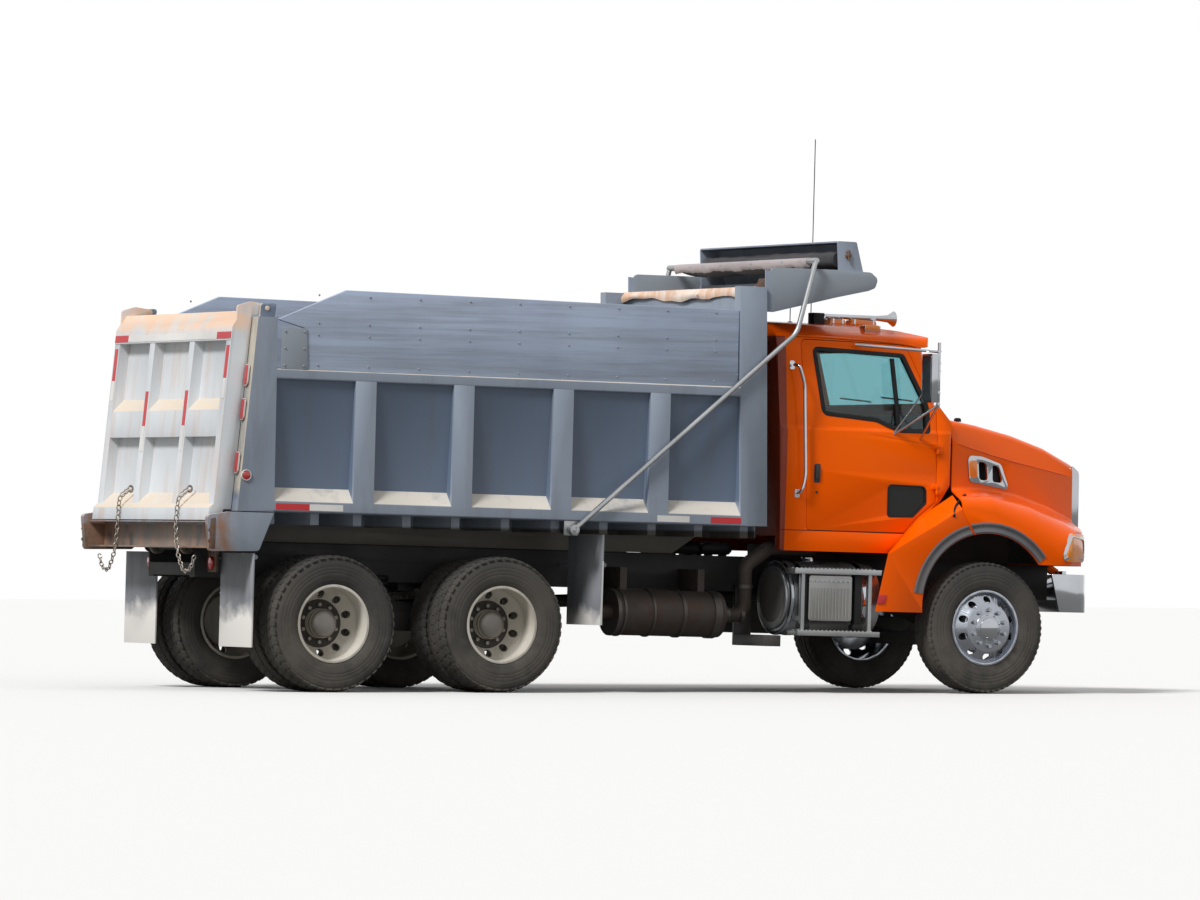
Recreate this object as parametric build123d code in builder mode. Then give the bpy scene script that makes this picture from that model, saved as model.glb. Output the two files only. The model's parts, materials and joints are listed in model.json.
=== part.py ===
from build123d import *
import os
from math import cos, hypot, radians, sin, tan

os.makedirs("parts", exist_ok=True)

# Three-axle dump truck, in millimetres. +X is forward, +Z is up, the driver's side is +Y.
# Lengths along the truck are measured from the middle of the rear axle pair, and mid moves
# them so that the origin is on the ground under the middle of the whole outline.
rear_reach = 1783
front_reach = 6190
mid = (rear_reach - front_reach) / 2
gap = 6

# The chassis stands a little nose down on its springs. Everything on it is drawn level and
# turned by rake about one point when it is kept.
rake = 0.94
rake_x = mid + 2500
rake_z = 1000

# Wheels and axles
wheelbase = 4983
tandem_spread = 1422
tyre_radius = 520
tyre_width = 276
bead_radius = 292
rim_flange = 298
rim_width = 235
dual_spacing = 330
dual_centre = 895
front_track = 1015
disc_thick = 12
hand_hole_radius = 29
hand_hole_reach = 222
hand_hole_count = 10
drum_radius = 205
spindle_radius = 45
spindle_gap = 6
kingpin_y = 830
front_axle_x = mid + wheelbase
rear_axle_xs = (mid + tandem_spread / 2, mid - tandem_spread / 2)
wheel_z = tyre_radius

# Frame
rail_top = 1072
rail_height = 277
rail_flange = 90
rail_wall = 12
frame_half = 430
rail_front = mid + 5947
pivot_x = mid - 1532
pivot_z = rail_top - 45
pivot_radius = 28

# Bed
bed_half = 1200
bed_front_x = mid + 2981
floor_z = 1300
floor_thick = 10
bottom_rail_top = floor_z + 82
bottom_rail_height = 78
ledge_height = 104
panel_low_y = bed_half - 100
panel_high_y = bed_half - 42
top_rail_low = 2305
top_rail_top = 2382
wall = 10
post_foot_x = mid - 1538
post_front_x = mid - 1234
post_top_z = 2769
post_lean = 0.09
front_lean = 0.0288
side_post_width = 172
side_post_xs = tuple(mid + x for x in (-492, 336, 1186, 2024))
front_post_width = 233
board_thick = 40
board_joint = 2694
board_top = 2990
bulkhead_top = 3165

# Cab
cab_back_x = mid + 3205
cab_half = 990
cab_low_z = 1127
cab_floor_z = 1240
cab_wall = 50
cab_front_x = mid + 4733
roof_z = 2936
belt_z = 2105
door_rear_x = mid + 3451
door_front_x = mid + 4590
door_sill_z = 1293
door_top_z = 2783
screen_sill = 2320
glass_thick = 6
mirror_y = cab_half + 250

# Nose
hood_wall = 14
arch_x = mid + 4980
arch_z = 722
arch_radius = 583
fender_out = 175
fender_half = cab_half + fender_out
fender_low = 1068
nose_x = mid + 6060
hood_rear_x = mid + 4745
hood_pin_x = mid + 6110
hood_pin_z = 1014

made = []


def keep(part, name, raked=True):
    if raked:
        part = part.rotate(Axis((rake_x, 0, rake_z), (0, 1, 0)), rake)
    part.label = name
    made.append(part)
    export_step(part, "parts/" + name + ".step")


def raked_z(x, z):
    """The height at which a level height z ends up after the rake, at a place x."""
    return z - (x - rake_x) * tan(radians(rake))


def block(x0, x1, y0, y1, z0, z1, mode=Mode.ADD):
    with Locations((min(x0, x1), min(y0, y1), min(z0, z1))):
        return Box(
            abs(x1 - x0), abs(y1 - y0), abs(z1 - z0),
            align=(Align.MIN, Align.MIN, Align.MIN), mode=mode,
        )


def outline_on(plane, corners, grow=0):
    """A face whose corners are (a, b) or, rounded, (a, b, radius), grown outwards if asked."""
    spots = []
    for index, corner in enumerate(corners):
        here = Vector(corner[0], corner[1])
        radius = corner[2] if len(corner) > 2 else 0
        if not radius:
            spots.append((here, None, here))
            continue
        back = (Vector(*corners[index - 1][:2]) - here).normalized()
        ahead = (Vector(*corners[(index + 1) % len(corners)][:2]) - here).normalized()
        half_angle = radians(back.get_angle(ahead) / 2)
        inward = (back + ahead).normalized()
        reach = radius / tan(half_angle)
        crest = here + inward * (radius / sin(half_angle) - radius)
        spots.append((here + back * reach, crest, here + ahead * reach))
    with BuildSketch(plane) as outline:
        with BuildLine():
            for index, (start, crest, end) in enumerate(spots):
                if crest:
                    ThreePointArc(start, crest, end)
                Line(end, spots[(index + 1) % len(spots)][0])
        make_face()
        if grow:
            offset(amount=grow, kind=Kind.INTERSECTION)
    return outline.sketch


def side_cut(corners, y0, y1, mode=Mode.ADD, grow=0):
    """An outline of (x, z) corners that runs from y0 to y1."""
    return extrude(outline_on(Plane.XZ.offset(-y0), corners, grow), amount=y0 - y1, mode=mode)


def cross_cut(corners, x0, x1, mode=Mode.ADD):
    """An outline of (y, z) corners that runs from x0 to x1."""
    return extrude(outline_on(Plane.YZ.offset(x0), corners), amount=x1 - x0, mode=mode)


def plan_cut(corners, z0, z1, mode=Mode.ADD):
    """An outline of (x, y) corners that runs from z0 to z1."""
    return extrude(outline_on(Plane.XY.offset(z0), corners), amount=z1 - z0, mode=mode)


def bar(start, end, radius, mode=Mode.ADD):
    """A round bar between two points."""
    run = Vector(*end) - Vector(*start)
    with BuildSketch(Plane(origin=start, z_dir=run)) as ring:
        Circle(radius)
    return extrude(ring.sketch, amount=run.length, mode=mode)


def pipe(points, radius, bend):
    """A round tube whose straight runs are joined by arcs of one bend radius."""
    with BuildLine() as route:
        FilletPolyline(*points, radius=bend)
    start = route.line @ 0
    with BuildSketch(Plane(origin=start, z_dir=route.line % 0)) as ring:
        Circle(radius)
    return sweep(ring.sketch, path=route.line)


def turned(points, x, y, z, mode=Mode.ADD):
    """A ring turned about a line along Y, from (y, radius) points."""
    with BuildSketch(Plane.YZ.offset(x)) as section:
        Polygon(*[(y + across, z + radius) for across, radius in points], align=None)
    return revolve(section.sketch, axis=Axis((x, 0, z), (0, 1, 0)), mode=mode)


def wheel_arch(radius, y0, y1, mode):
    with BuildSketch(Plane.XZ.offset(-y0)) as arch:
        with Locations((arch_x, arch_z)):
            Circle(radius)
    return extrude(arch.sketch, amount=y0 - y1, mode=mode)


def sided(corners, side):
    return [(corner[0] * side,) + tuple(corner[1:]) for corner in corners]


def both_halves(corners, across):
    """Corners from the -Y side to the middle, with their mirror image. across tells which value is y."""
    other = []
    for corner in reversed(corners):
        if corner[across]:
            flipped = list(corner)
            flipped[across] = -corner[across]
            other.append(tuple(flipped))
    return list(corners) + other


# Frame rails: two channels, open inwards
rail_bottom = rail_top - rail_height
with BuildPart() as frame_rails:
    for side in (1, -1):
        outer = side * frame_half
        inner = side * (frame_half - rail_flange)
        block(pivot_x, rail_front, outer, outer - side * rail_wall, rail_bottom, rail_top)
        block(pivot_x, rail_front, outer, inner, rail_top - rail_wall, rail_top)
        block(pivot_x, rail_front, outer, inner, rail_bottom, rail_bottom + rail_wall)
        bar((pivot_x, outer, pivot_z), (pivot_x, outer - side * rail_wall, pivot_z), pivot_radius + 16)
keep(frame_rails.part, "frame_rails")

# Cross members, the tipping shaft, the hoist's lower pin and the hood's hinge pins
hoist_x = mid + 300
hoist_z = 790
hoist_pin_radius = 32
hood_pin_radius = 12
member_xs = [mid + x for x in (-1060, -330, 1330, 2440, 5880)]
inside = frame_half - rail_wall
hanger = frame_half - rail_flange
horn_outer = inside
horn_inner = inside - 80
with BuildPart() as crossmembers:
    for x in member_xs:
        block(x - 40, x + 40, -inside, inside, rail_bottom + rail_wall + 20, rail_bottom + 70)
    bar((pivot_x, -inside, pivot_z), (pivot_x, inside, pivot_z), pivot_radius)
    block(pivot_x, pivot_x + 60, -inside, inside, rail_bottom + rail_wall, rail_bottom + 110)
    bar((hoist_x, -hanger, hoist_z), (hoist_x, hanger, hoist_z), hoist_pin_radius)
    for side in (1, -1):
        block(hoist_x - 70, hoist_x + 70, side * hanger, side * (hanger - 14), hoist_z - 60,
              rail_bottom + 60)
        bar((hood_pin_x, side * 200, hood_pin_z), (hood_pin_x, side * horn_inner, hood_pin_z),
            hood_pin_radius)
keep(crossmembers.part, "crossmembers")

# Front axle: a beam between the two kingpin eyes, under the leaf springs
eye_radius = 55
eye_half = 70
kingpin_radius = 24
spring_y = frame_half - rail_flange / 2
spring_half = 640
spring_end_high = raked_z(front_axle_x + spring_half, rail_bottom) - 6
with BuildPart() as front_axle:
    block(front_axle_x - 50, front_axle_x + 50, -640, 640, wheel_z - 150, wheel_z - 50)
    for side in (1, -1):
        cross_cut(
            sided([(620, wheel_z - 150), (620, wheel_z - 50), (kingpin_y - 60, wheel_z + 40),
                   (kingpin_y - 10, wheel_z + 40), (kingpin_y - 10, wheel_z - 60),
                   (kingpin_y - 60, wheel_z - 60)], side),
            front_axle_x - 45, front_axle_x + 45,
        )
        bar((front_axle_x, side * kingpin_y, wheel_z - eye_half),
            (front_axle_x, side * kingpin_y, wheel_z + eye_half), eye_radius)
    for side in (1, -1):
        bar((front_axle_x, side * kingpin_y, wheel_z - 300),
            (front_axle_x, side * kingpin_y, wheel_z + 300), kingpin_radius + 0.4, mode=Mode.SUBTRACT)
    for side in (1, -1):
        side_cut(
            [(front_axle_x - spring_half, spring_end_high - 60), (front_axle_x - 300, wheel_z + 60, 300),
             (front_axle_x - 90, wheel_z - 50), (front_axle_x + 90, wheel_z - 50),
             (front_axle_x + 300, wheel_z + 60, 300), (front_axle_x + spring_half, spring_end_high - 60),
             (front_axle_x + spring_half, spring_end_high), (front_axle_x + 90, wheel_z + 70, 200),
             (front_axle_x - 90, wheel_z + 70, 200), (front_axle_x - spring_half, spring_end_high)],
            side * (spring_y - 40), side * (spring_y + 40),
        )
keep(front_axle.part, "front_axle", raked=False)

# Rear axles: two housings with their round middles, the shaft to them, the load beams
# between the two axles and the air bags on the beams
axle_end = dual_centre - 150
shaft_z = wheel_z + 90
bag_top = raked_z(mid + 120, rail_bottom) - 4
with BuildPart() as drive_axles:
    for x in rear_axle_xs:
        bar((x, -axle_end, wheel_z), (x, axle_end, wheel_z), 70)
        bar((x, -axle_end - 120, wheel_z), (x, axle_end + 120, wheel_z), spindle_radius)
        with Locations((x, 0, wheel_z)):
            Sphere(200)
    bar((rear_axle_xs[1], 0, shaft_z), (mid + 3540, 0, shaft_z + 150), 50)
    for side in (1, -1):
        side_cut(
            [(rear_axle_xs[1] - 90, wheel_z - 60), (rear_axle_xs[1] - 90, wheel_z + 90),
             (mid - 120, bag_top - 130), (mid + 120, bag_top - 130),
             (rear_axle_xs[0] + 90, wheel_z + 90), (rear_axle_xs[0] + 90, wheel_z - 60)],
            side * (spring_y - 45), side * (spring_y + 45),
        )
        bar((mid, side * spring_y, bag_top - 140), (mid, side * spring_y, bag_top), 90)
keep(drive_axles.part, "drive_axles", raked=False)

# Engine with its gearbox as one mass, and the radiator behind the grille
gearbox_back = mid + 3560
gearbox_top = cab_floor_z - 60
with BuildPart() as engine:
    block(cab_front_x + 12, mid + 5650, -300, 300, rail_bottom + 60, 1740)
    block(gearbox_back, cab_front_x + 12, -210, 210, rail_bottom + 60, gearbox_top)
    block(mid + 5930, mid + 5990, -380, 380, rail_top + 10, 1700)
    block(mid + 5650, mid + 5930, -60, 60, 1250, 1400)
keep(engine.part, "engine")

# Exhaust: a lying silencer outside the near rail, and its pipe up to the engine
silencer_y = -(frame_half + 310)
silencer_z = 610
silencer_radius = 178
with BuildPart() as exhaust:
    bar((mid + 1860, silencer_y, silencer_z), (mid + 2800, silencer_y, silencer_z), silencer_radius)
    bar((mid + 1760, silencer_y, silencer_z), (mid + 2880, silencer_y, silencer_z), 62)
    pipe([(mid + 2860, silencer_y, silencer_z), (mid + 3037, silencer_y, silencer_z),
          (mid + 3037, silencer_y, 1000), (mid + 3250, silencer_y, 1145), (mid + 3660, silencer_y, 1145),
          (mid + 3660, -210, 1145)], 57, 100)
    for x in (mid + 1960, mid + 2640):
        block(x - 30, x + 30, silencer_y - 30, -frame_half, silencer_z + 60, 960)
keep(exhaust.part, "exhaust")

# What the steps and boxes leave free for the fenders behind the front wheels
def fender_notch(side):
    side_cut([(mid + 3962, 600), (mid + 4058, 1128), (mid + 4300, 1300), (mid + 4300, 600)],
             side * 1060, side * 1250, mode=Mode.SUBTRACT)


# Fuel tank on the near side, with its steps
tank_radius = 289
tank_y = -(frame_half + 50 + tank_radius)
tank_z = 756
tank_back = mid + 3290
tank_front = mid + 4080
step_outer = -(fender_half - 3)
with BuildPart() as fuel_tank:
    bar((tank_back, tank_y, tank_z), (tank_front, tank_y, tank_z), tank_radius)
    bar((tank_back - 26, tank_y, tank_z), (tank_back, tank_y, tank_z), tank_radius - 46)
    bar((mid + 3640, tank_y + 110, tank_z + 240), (mid + 3640, tank_y + 110, tank_z + 302), 52)
    for x in (mid + 3400, mid + 3960):
        block(x - 30, x + 30, -frame_half, tank_y, tank_z - 120, tank_z + 120)
    for z, x0, x1 in ((990, mid + 3262, mid + 4064), (506, mid + 3294, mid + 4024)):
        block(x0, x1, step_outer, step_outer + 172, z - 40, z)
    for x in (mid + 3330, mid + 3925):
        block(x, x + 30, step_outer + 20, step_outer + 60, 480, 960)
        block(x, x + 30, step_outer + 20, tank_y, 580, 620)
    fender_notch(-1)
keep(fuel_tank.part, "fuel_tank")

# Boxes: the battery box with its step on the far side, a low box before the near tank
with BuildPart() as battery_box:
    block(mid + 3290, mid + 4050, frame_half, 1120, 470, 1010)
    block(mid + 3290, mid + 4050, 1120, fender_half - 3, 478, 506)
    fender_notch(1)
    block(mid + 3105, mid + 3250, -frame_half, -frame_half - 540, 375, 462)
    block(mid + 3105, mid + 3250, -frame_half, -frame_half - 40, 462, rail_bottom + 60)
keep(battery_box.part, "battery_box")

# Bumper: a bright channel whose ends sweep back, on two horns
bumper_low = 700
bumper_top = 1000
bumper_front = mid + front_reach
bumper_wall = 26
bumper_back = mid + 5560
with BuildPart() as bumper:
    plan_cut(both_halves([
        (bumper_back, -fender_half), (bumper_front - 330, -fender_half, 120), (bumper_front, -620, 380),
    ], 1), bumper_low, bumper_top)
    plan_cut(both_halves([
        (bumper_back - 10, -fender_half + bumper_wall),
        (bumper_front - 345, -fender_half + bumper_wall, 94),
        (bumper_front - bumper_wall, -608, 354),
    ], 1), bumper_low, bumper_top, mode=Mode.SUBTRACT)
    side_cut([(mid + 5563, bumper_top), (mid + 5640, bumper_low), (bumper_front + 50, bumper_low),
              (bumper_front + 50, bumper_top)], -fender_half - 20, fender_half + 20, mode=Mode.INTERSECT)
    for side in (1, -1):
        block(rail_front, bumper_front - 20, side * horn_outer, side * horn_inner, rail_bottom,
              bumper_top - 20)
        block(hood_pin_x - 20, hood_pin_x + 20, side * horn_outer, side * horn_inner,
              bumper_top - 20, hood_pin_z + 16)
keep(bumper.part, "bumper")

# Mud flaps: one behind each rear wheel pair and one ahead of it
flap_thick = 12
flap_outer = bed_half - 10
flap_inner = bed_half - 600
with BuildPart() as mud_flaps:
    for side in (1, -1):
        for x, low, high in ((mid - 1385, 274, 985), (mid + 1565, 506, 1203)):
            block(x - flap_thick / 2, x + flap_thick / 2, side * flap_inner, side * flap_outer, low, high)
            bar((x + 20, side * frame_half, min(high, 1000) - 30),
                (x + 20, side * (flap_outer - 15), min(high, 1000) - 30), 18)
keep(mud_flaps.part, "mud_flaps")


# Wheels
def tyre(x, y, z):
    half = tyre_width / 2
    with BuildSketch(Plane.YZ.offset(x)) as section:
        with BuildLine():
            Polyline((y - 104, z + rim_flange + 2), (y - 104, z + bead_radius + 0.5),
                     (y + 104, z + bead_radius + 0.5), (y + 104, z + rim_flange + 2))
            ThreePointArc((y + 104, z + rim_flange + 2), (y + half, z + 400), (y + half - 20, z + 492))
            ThreePointArc((y + half - 20, z + 492), (y + half - 28, z + 510), (y + half - 46, z + 516))
            ThreePointArc((y + half - 46, z + 516), (y, z + tyre_radius), (y - half + 46, z + 516))
            ThreePointArc((y - half + 46, z + 516), (y - half + 28, z + 510), (y - half + 20, z + 492))
            ThreePointArc((y - half + 20, z + 492), (y - half, z + 400), (y - 104, z + rim_flange + 2))
        make_face()
    return revolve(section.sketch, axis=Axis((x, 0, z), (0, 1, 0)))


def rim(x, y, z, face):
    """A rim whose disc stands out from its middle towards face, +1 or -1 along Y."""
    edge = rim_width / 2
    inner = bead_radius - 14
    disc = dual_spacing / 2
    turned([(-edge, inner), (-edge, rim_flange), (-edge + 12, rim_flange), (-edge + 12, bead_radius),
            (edge - 12, bead_radius), (edge - 12, rim_flange), (edge, rim_flange), (edge, inner)], x, y, z)
    turned([(face * (edge - 30), inner), (face * disc, 190), (face * disc, 75),
            (face * (disc - disc_thick), 75), (face * (disc - disc_thick), 184),
            (face * (edge - 46), inner)], x, y, z)


def hand_holes(x, y0, y1, z):
    with BuildSketch(Plane(origin=(x, y0, z), x_dir=(1, 0, 0), z_dir=(0, y1 - y0, 0))) as holes:
        with PolarLocations(hand_hole_reach, hand_hole_count, start_angle=90):
            Circle(hand_hole_radius)
    extrude(holes.sketch, amount=abs(y1 - y0), mode=Mode.SUBTRACT)


for side, name in ((1, "left"), (-1, "right")):
    with BuildPart() as front_tyre:
        tyre(front_axle_x, side * front_track, wheel_z)
    keep(front_tyre.part, "tyre_front_" + name, raked=False)

    face_y = side * (front_track + dual_spacing / 2)
    with BuildPart() as front_wheel:
        rim(front_axle_x, side * front_track, wheel_z, side)
        hand_holes(front_axle_x, face_y - side * 120, face_y + side * 20, wheel_z)
        turned([(side * -135, spindle_radius + spindle_gap), (side * -135, drum_radius),
                (side * -10, drum_radius), (side * -10, 115), (side * 10, 115), (side * 24, 95),
                (side * 30, 60), (side * 30, 0), (side * 0, 0), (side * 0, spindle_radius + spindle_gap)],
               front_axle_x, face_y - side * disc_thick, wheel_z)
    keep(front_wheel.part, "wheel_front_" + name, raked=False)

    with BuildPart() as knuckle:
        yoke = (eye_half + gap, eye_half + gap + 30)
        for updown in (1, -1):
            z0 = wheel_z + updown * yoke[0]
            z1 = wheel_z + updown * yoke[1]
            bar((front_axle_x, side * kingpin_y, z0), (front_axle_x, side * kingpin_y, z1), 50)
            block(front_axle_x - 45, front_axle_x + 45, side * kingpin_y, side * (kingpin_y + 92), z0, z1)
        bar((front_axle_x, side * kingpin_y, wheel_z - yoke[1]),
            (front_axle_x, side * kingpin_y, wheel_z + yoke[1]), kingpin_radius)
        block(front_axle_x - 50, front_axle_x + 50, side * (kingpin_y + 64), side * (kingpin_y + 94),
              wheel_z - yoke[1], wheel_z + yoke[1])
        bar((front_axle_x, side * (kingpin_y + 90), wheel_z),
            (front_axle_x, face_y - side * (disc_thick + 8), wheel_z), spindle_radius)
        block(front_axle_x - 260, front_axle_x - 30, side * (kingpin_y - 25), side * (kingpin_y + 25),
              wheel_z - yoke[1], wheel_z - yoke[0])
    keep(knuckle.part, "knuckle_" + name, raked=False)

    for number, x in enumerate(rear_axle_xs, start=1):
        place = "_rear_" + str(number) + "_" + name
        with BuildPart() as dual_tyres:
            for offset_y in (-dual_spacing / 2, dual_spacing / 2):
                tyre(x, side * (dual_centre + offset_y), wheel_z)
        keep(dual_tyres.part, "tyres" + place, raked=False)

        with BuildPart() as dual_wheels:
            rim(x, side * (dual_centre + dual_spacing / 2), wheel_z, -side)
            rim(x, side * (dual_centre - dual_spacing / 2), wheel_z, side)
            hand_holes(x, side * (dual_centre - 120), side * (dual_centre + 120), wheel_z)
            turned([(side * -140, spindle_radius + spindle_gap), (side * -140, drum_radius),
                    (side * -12, drum_radius), (side * -12, 112), (side * 84, 112), (side * 110, 98),
                    (side * 126, 66), (side * 132, 30), (side * 132, 0), (side * 0, 0),
                    (side * 0, spindle_radius + spindle_gap)],
                   x, side * dual_centre, wheel_z)
        keep(dual_wheels.part, "wheels" + place, raked=False)


# Cab shell: one hollow form, cut into its real panels
screen_rise = 456
screen_run = 118
header_z = 2756


def front_corners(inset, header, brow):
    """What the rounded corners of the windscreen and the brow leave out."""
    half_low = cab_half - 31 - inset
    half_high = cab_half - 67 - inset
    radius = 95 - inset
    with BuildPart() as left_out:
        block(mid + 4200, mid + 5200, -1200, 1200, header_z - screen_rise, 3000)
        sections = [
            outline_on(Plane.XY.offset(z),
                       both_halves([(mid + 4100, -half), (front, -half, radius)], 1)).face()
            for z, half, front in ((header_z - screen_rise, half_low, header + screen_run),
                                   (header_z, half_high, header))
        ]
        loft(sections, ruled=True, mode=Mode.SUBTRACT)
        plan_cut(both_halves([(mid + 4100, -half_low), (brow, -half_low, 210 - inset)], 1),
                 header_z, 3000, mode=Mode.SUBTRACT)
    return left_out.part


def cab_form(inset):
    back = cab_back_x + inset
    front = cab_front_x - inset
    half = cab_half - inset
    top = roof_z - inset
    header = mid + 4500 - inset
    brow = mid + 4592 - inset
    corners_out = front_corners(inset, header, brow)
    roof_front = [(brow - 6, 2836 - inset, 60), (brow, header_z + 16, 12), (header, header_z, 8)]
    if inset > 0:
        roof_front = [(header - 16, header_z + 62, 20)]
    with BuildPart() as form:
        side_cut([
            (back + 12, cab_low_z + inset / 2, 20), (back - 34, top - 8, 70), (mid + 3800, top - 6, 600),
            (mid + 4330, top - 52, 300), *roof_front, (header + screen_run, header_z - screen_rise, 60),
            (front, 2168 - inset / 2, 30), (front, 1700), (mid + 4600 - inset, 1490),
            (mid + 4330 - inset, cab_low_z + inset / 2),
        ], -1200, 1200)
        cross_cut(both_halves([
            (-half + 14, cab_low_z), (-half, belt_z - 330, 600), (-half, belt_z - 30, 30),
            (-half + 16, belt_z, 30), (-half + 62, 2690, 400), (-half + 92, 2820 - inset / 2, 80),
            (-half + 270, top - 26, 200), (-half + 640, top, 900),
        ], 0), mid + 3000, mid + 5200, mode=Mode.INTERSECT)
        add(corners_out, mode=Mode.SUBTRACT)
        plan_cut(both_halves([(back - 34, -half, 70), (front, -half, 40)], 1), 1000, 3100,
                 mode=Mode.INTERSECT)
    return form.part


under_floor = Pos(mid + 3700, 0, cab_floor_z - 120) * Box(1440, 1800, 240)
cab_shell = cab_form(0) - cab_form(cab_wall) - under_floor
glass_shell = cab_form(cab_wall / 2) - cab_form(cab_wall / 2 + glass_thick)
door_outline = [
    (door_rear_x, door_sill_z, 30), (mid + 3391, door_top_z, 50), (mid + 4318, 2768, 60),
    (door_front_x, 2246, 60), (door_front_x, 1540, 30), (mid + 4440, 1424, 100),
    (mid + 4318, door_sill_z, 30),
]
window_outline = [
    (mid + 3492, 2724, 40), (mid + 4300, 2694, 40), (mid + 4520, 2290, 200), (mid + 4530, 2086, 25),
    (mid + 4262, 2085, 90), (mid + 4050, 2163, 150), (mid + 3578, 2201, 60),
]
porthole_outline = [
    (mid + 4165, 1664, 30), (mid + 4500, 1658, 40), (mid + 4504, 1530, 20), (mid + 4392, 1421, 20),
    (mid + 4168, 1417, 20),
]
panel_split_z = door_top_z + 20
floor_top = door_sill_z - 3
side_inner = cab_half - cab_wall - 70
screen_half = side_inner - 40

with BuildPart() as cab_floor:
    block(cab_back_x + cab_wall + 14, mid + 4335, -cab_half + 66, cab_half - 66, cab_floor_z, floor_top)
keep(cab_floor.part, "cab_floor")

back_window = (400, 2230, 2660)
with BuildPart() as cab_back:
    add(cab_shell)
    block(mid + 3000, cab_back_x + cab_wall, -1200, 1200, 1000, panel_split_z, mode=Mode.INTERSECT)
    block(mid + 3000, cab_back_x + cab_wall + 10, -back_window[0], back_window[0], back_window[1],
          back_window[2], mode=Mode.SUBTRACT)
keep(cab_back.part, "cab_back")

with BuildPart() as cab_roof:
    add(cab_shell)
    block(mid + 3000, mid + 5200, -1200, 1200, panel_split_z, 3200, mode=Mode.INTERSECT)
keep(cab_roof.part, "cab_roof")

hinge_x = door_front_x + gap / 2
hinge_y = cab_half + 13
hinge_radius = 11
door_hinge_zs = (1640, 1960)
for side, name in ((1, "left"), (-1, "right")):
    with BuildPart() as cab_side:
        add(cab_shell)
        block(cab_back_x + cab_wall, mid + 5200, side * side_inner, side * 1200, 1000, panel_split_z,
              mode=Mode.INTERSECT)
        side_cut(door_outline, side * 700, side * 1200, mode=Mode.SUBTRACT, grow=gap)
        for z in door_hinge_zs:
            bar((hinge_x, side * hinge_y, z - 40), (hinge_x, side * hinge_y, z - 2), hinge_radius)
            block(hinge_x, hinge_x + 40, side * (cab_half - 10), side * (hinge_y + 2), z - 40, z - 2)
    keep(cab_side.part, "cab_side_" + name)

    with BuildPart() as door:
        add(cab_shell)
        side_cut(door_outline, side * 700, side * 1200, mode=Mode.INTERSECT)
        block(mid + 4334, mid + 5200, side * 700, side * (side_inner + gap), 1000, 2900, mode=Mode.SUBTRACT)
        side_cut(window_outline, side * 700, side * 1200, mode=Mode.SUBTRACT)
        side_cut(porthole_outline, side * 700, side * 1200, mode=Mode.SUBTRACT)
        for z in door_hinge_zs:
            bar((hinge_x, side * hinge_y, z + 2), (hinge_x, side * hinge_y, z + 40), hinge_radius)
            block(hinge_x, hinge_x - 40, side * (cab_half - 10), side * (hinge_y + 2), z + 2, z + 40)
    keep(door.part, "door_" + name)

    with BuildPart() as door_glass:
        add(glass_shell)
        side_cut(window_outline, side * 700, side * 1200, mode=Mode.INTERSECT)
    keep(door_glass.part, "door_glass_" + name)

    tube_x = mid + 4452
    with BuildPart() as mirror_part:
        block(mid + 4345, mid + 4402, side * (mirror_y - 80), side * (mirror_y + 80), 2316, 2698)
        for z in (2390, 2620):
            bar((mid + 4390, side * mirror_y, z), (tube_x, side * mirror_y, z), 10)
        bar((tube_x, side * mirror_y, 2276), (tube_x, side * mirror_y, 2790), 13)
        bar((tube_x, side * mirror_y, 2716), (mid + 3860, side * (cab_half - 50), 2757), 11)
        bar((tube_x, side * mirror_y, 2300), (mid + 4190, side * (cab_half - 20), 2050), 10)
        bar((tube_x, side * mirror_y, 2560), (mid + 4190, side * (cab_half - 20), 2050), 7)
        bar((tube_x, side * mirror_y, 2300), (mid + 4440, side * (cab_half - 20), 2010), 10)
        add(cab_form(-0.5), mode=Mode.SUBTRACT)
    keep(mirror_part.part, "mirror_" + name)

with BuildPart() as cab_front:
    add(cab_shell)
    block(mid + 4340, mid + 5200, -side_inner, side_inner, cab_floor_z, panel_split_z, mode=Mode.INTERSECT)
    block(mid + 4300, mid + 5200, -screen_half, screen_half, screen_sill, header_z - 20, mode=Mode.SUBTRACT)
keep(cab_front.part, "cab_front")

with BuildPart() as cab_glass:
    add(glass_shell)
    block(mid + 4300, mid + 5200, -screen_half, screen_half, screen_sill, header_z - 20,
          mode=Mode.INTERSECT)
    block(cab_back_x + 14, cab_back_x + 20, -back_window[0], back_window[0], back_window[1], back_window[2])
keep(cab_glass.part, "cab_glass")

# Seats, dashboard and steering wheel
with BuildPart() as seats:
    for side in (1, -1):
        y = side * 480
        block(mid + 3520, mid + 3860, y - 180, y + 180, floor_top, 1560)
        block(mid + 3440, mid + 3960, y - 250, y + 250, 1560, 1700)
        side_cut([(mid + 3430, 1700), (mid + 3570, 1700), (mid + 3430, 2420, 30), (mid + 3330, 2420, 30)],
                 y - 240, y + 240)
keep(seats.part, "seats")

dash_half = side_inner - 10
with BuildPart() as dashboard:
    side_cut([(mid + 4350, 1900, 30), (mid + 4330, 2130, 40), (mid + 4420, 2230, 40), (mid + 4540, 2230),
              (mid + 4540, 1900)], -dash_half, dash_half)
    bar((mid + 4400, 480, 2040), (mid + 4170, 480, 2120), 30)
    with BuildSketch(Plane(origin=(mid + 4160, 480, 2125), z_dir=(-0.88, 0, 0.45))) as wheel_ring:
        Circle(230)
        Circle(205, mode=Mode.SUBTRACT)
        Rectangle(420, 40)
    extrude(wheel_ring.sketch, amount=24)
keep(dashboard.part, "dashboard")

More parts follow.
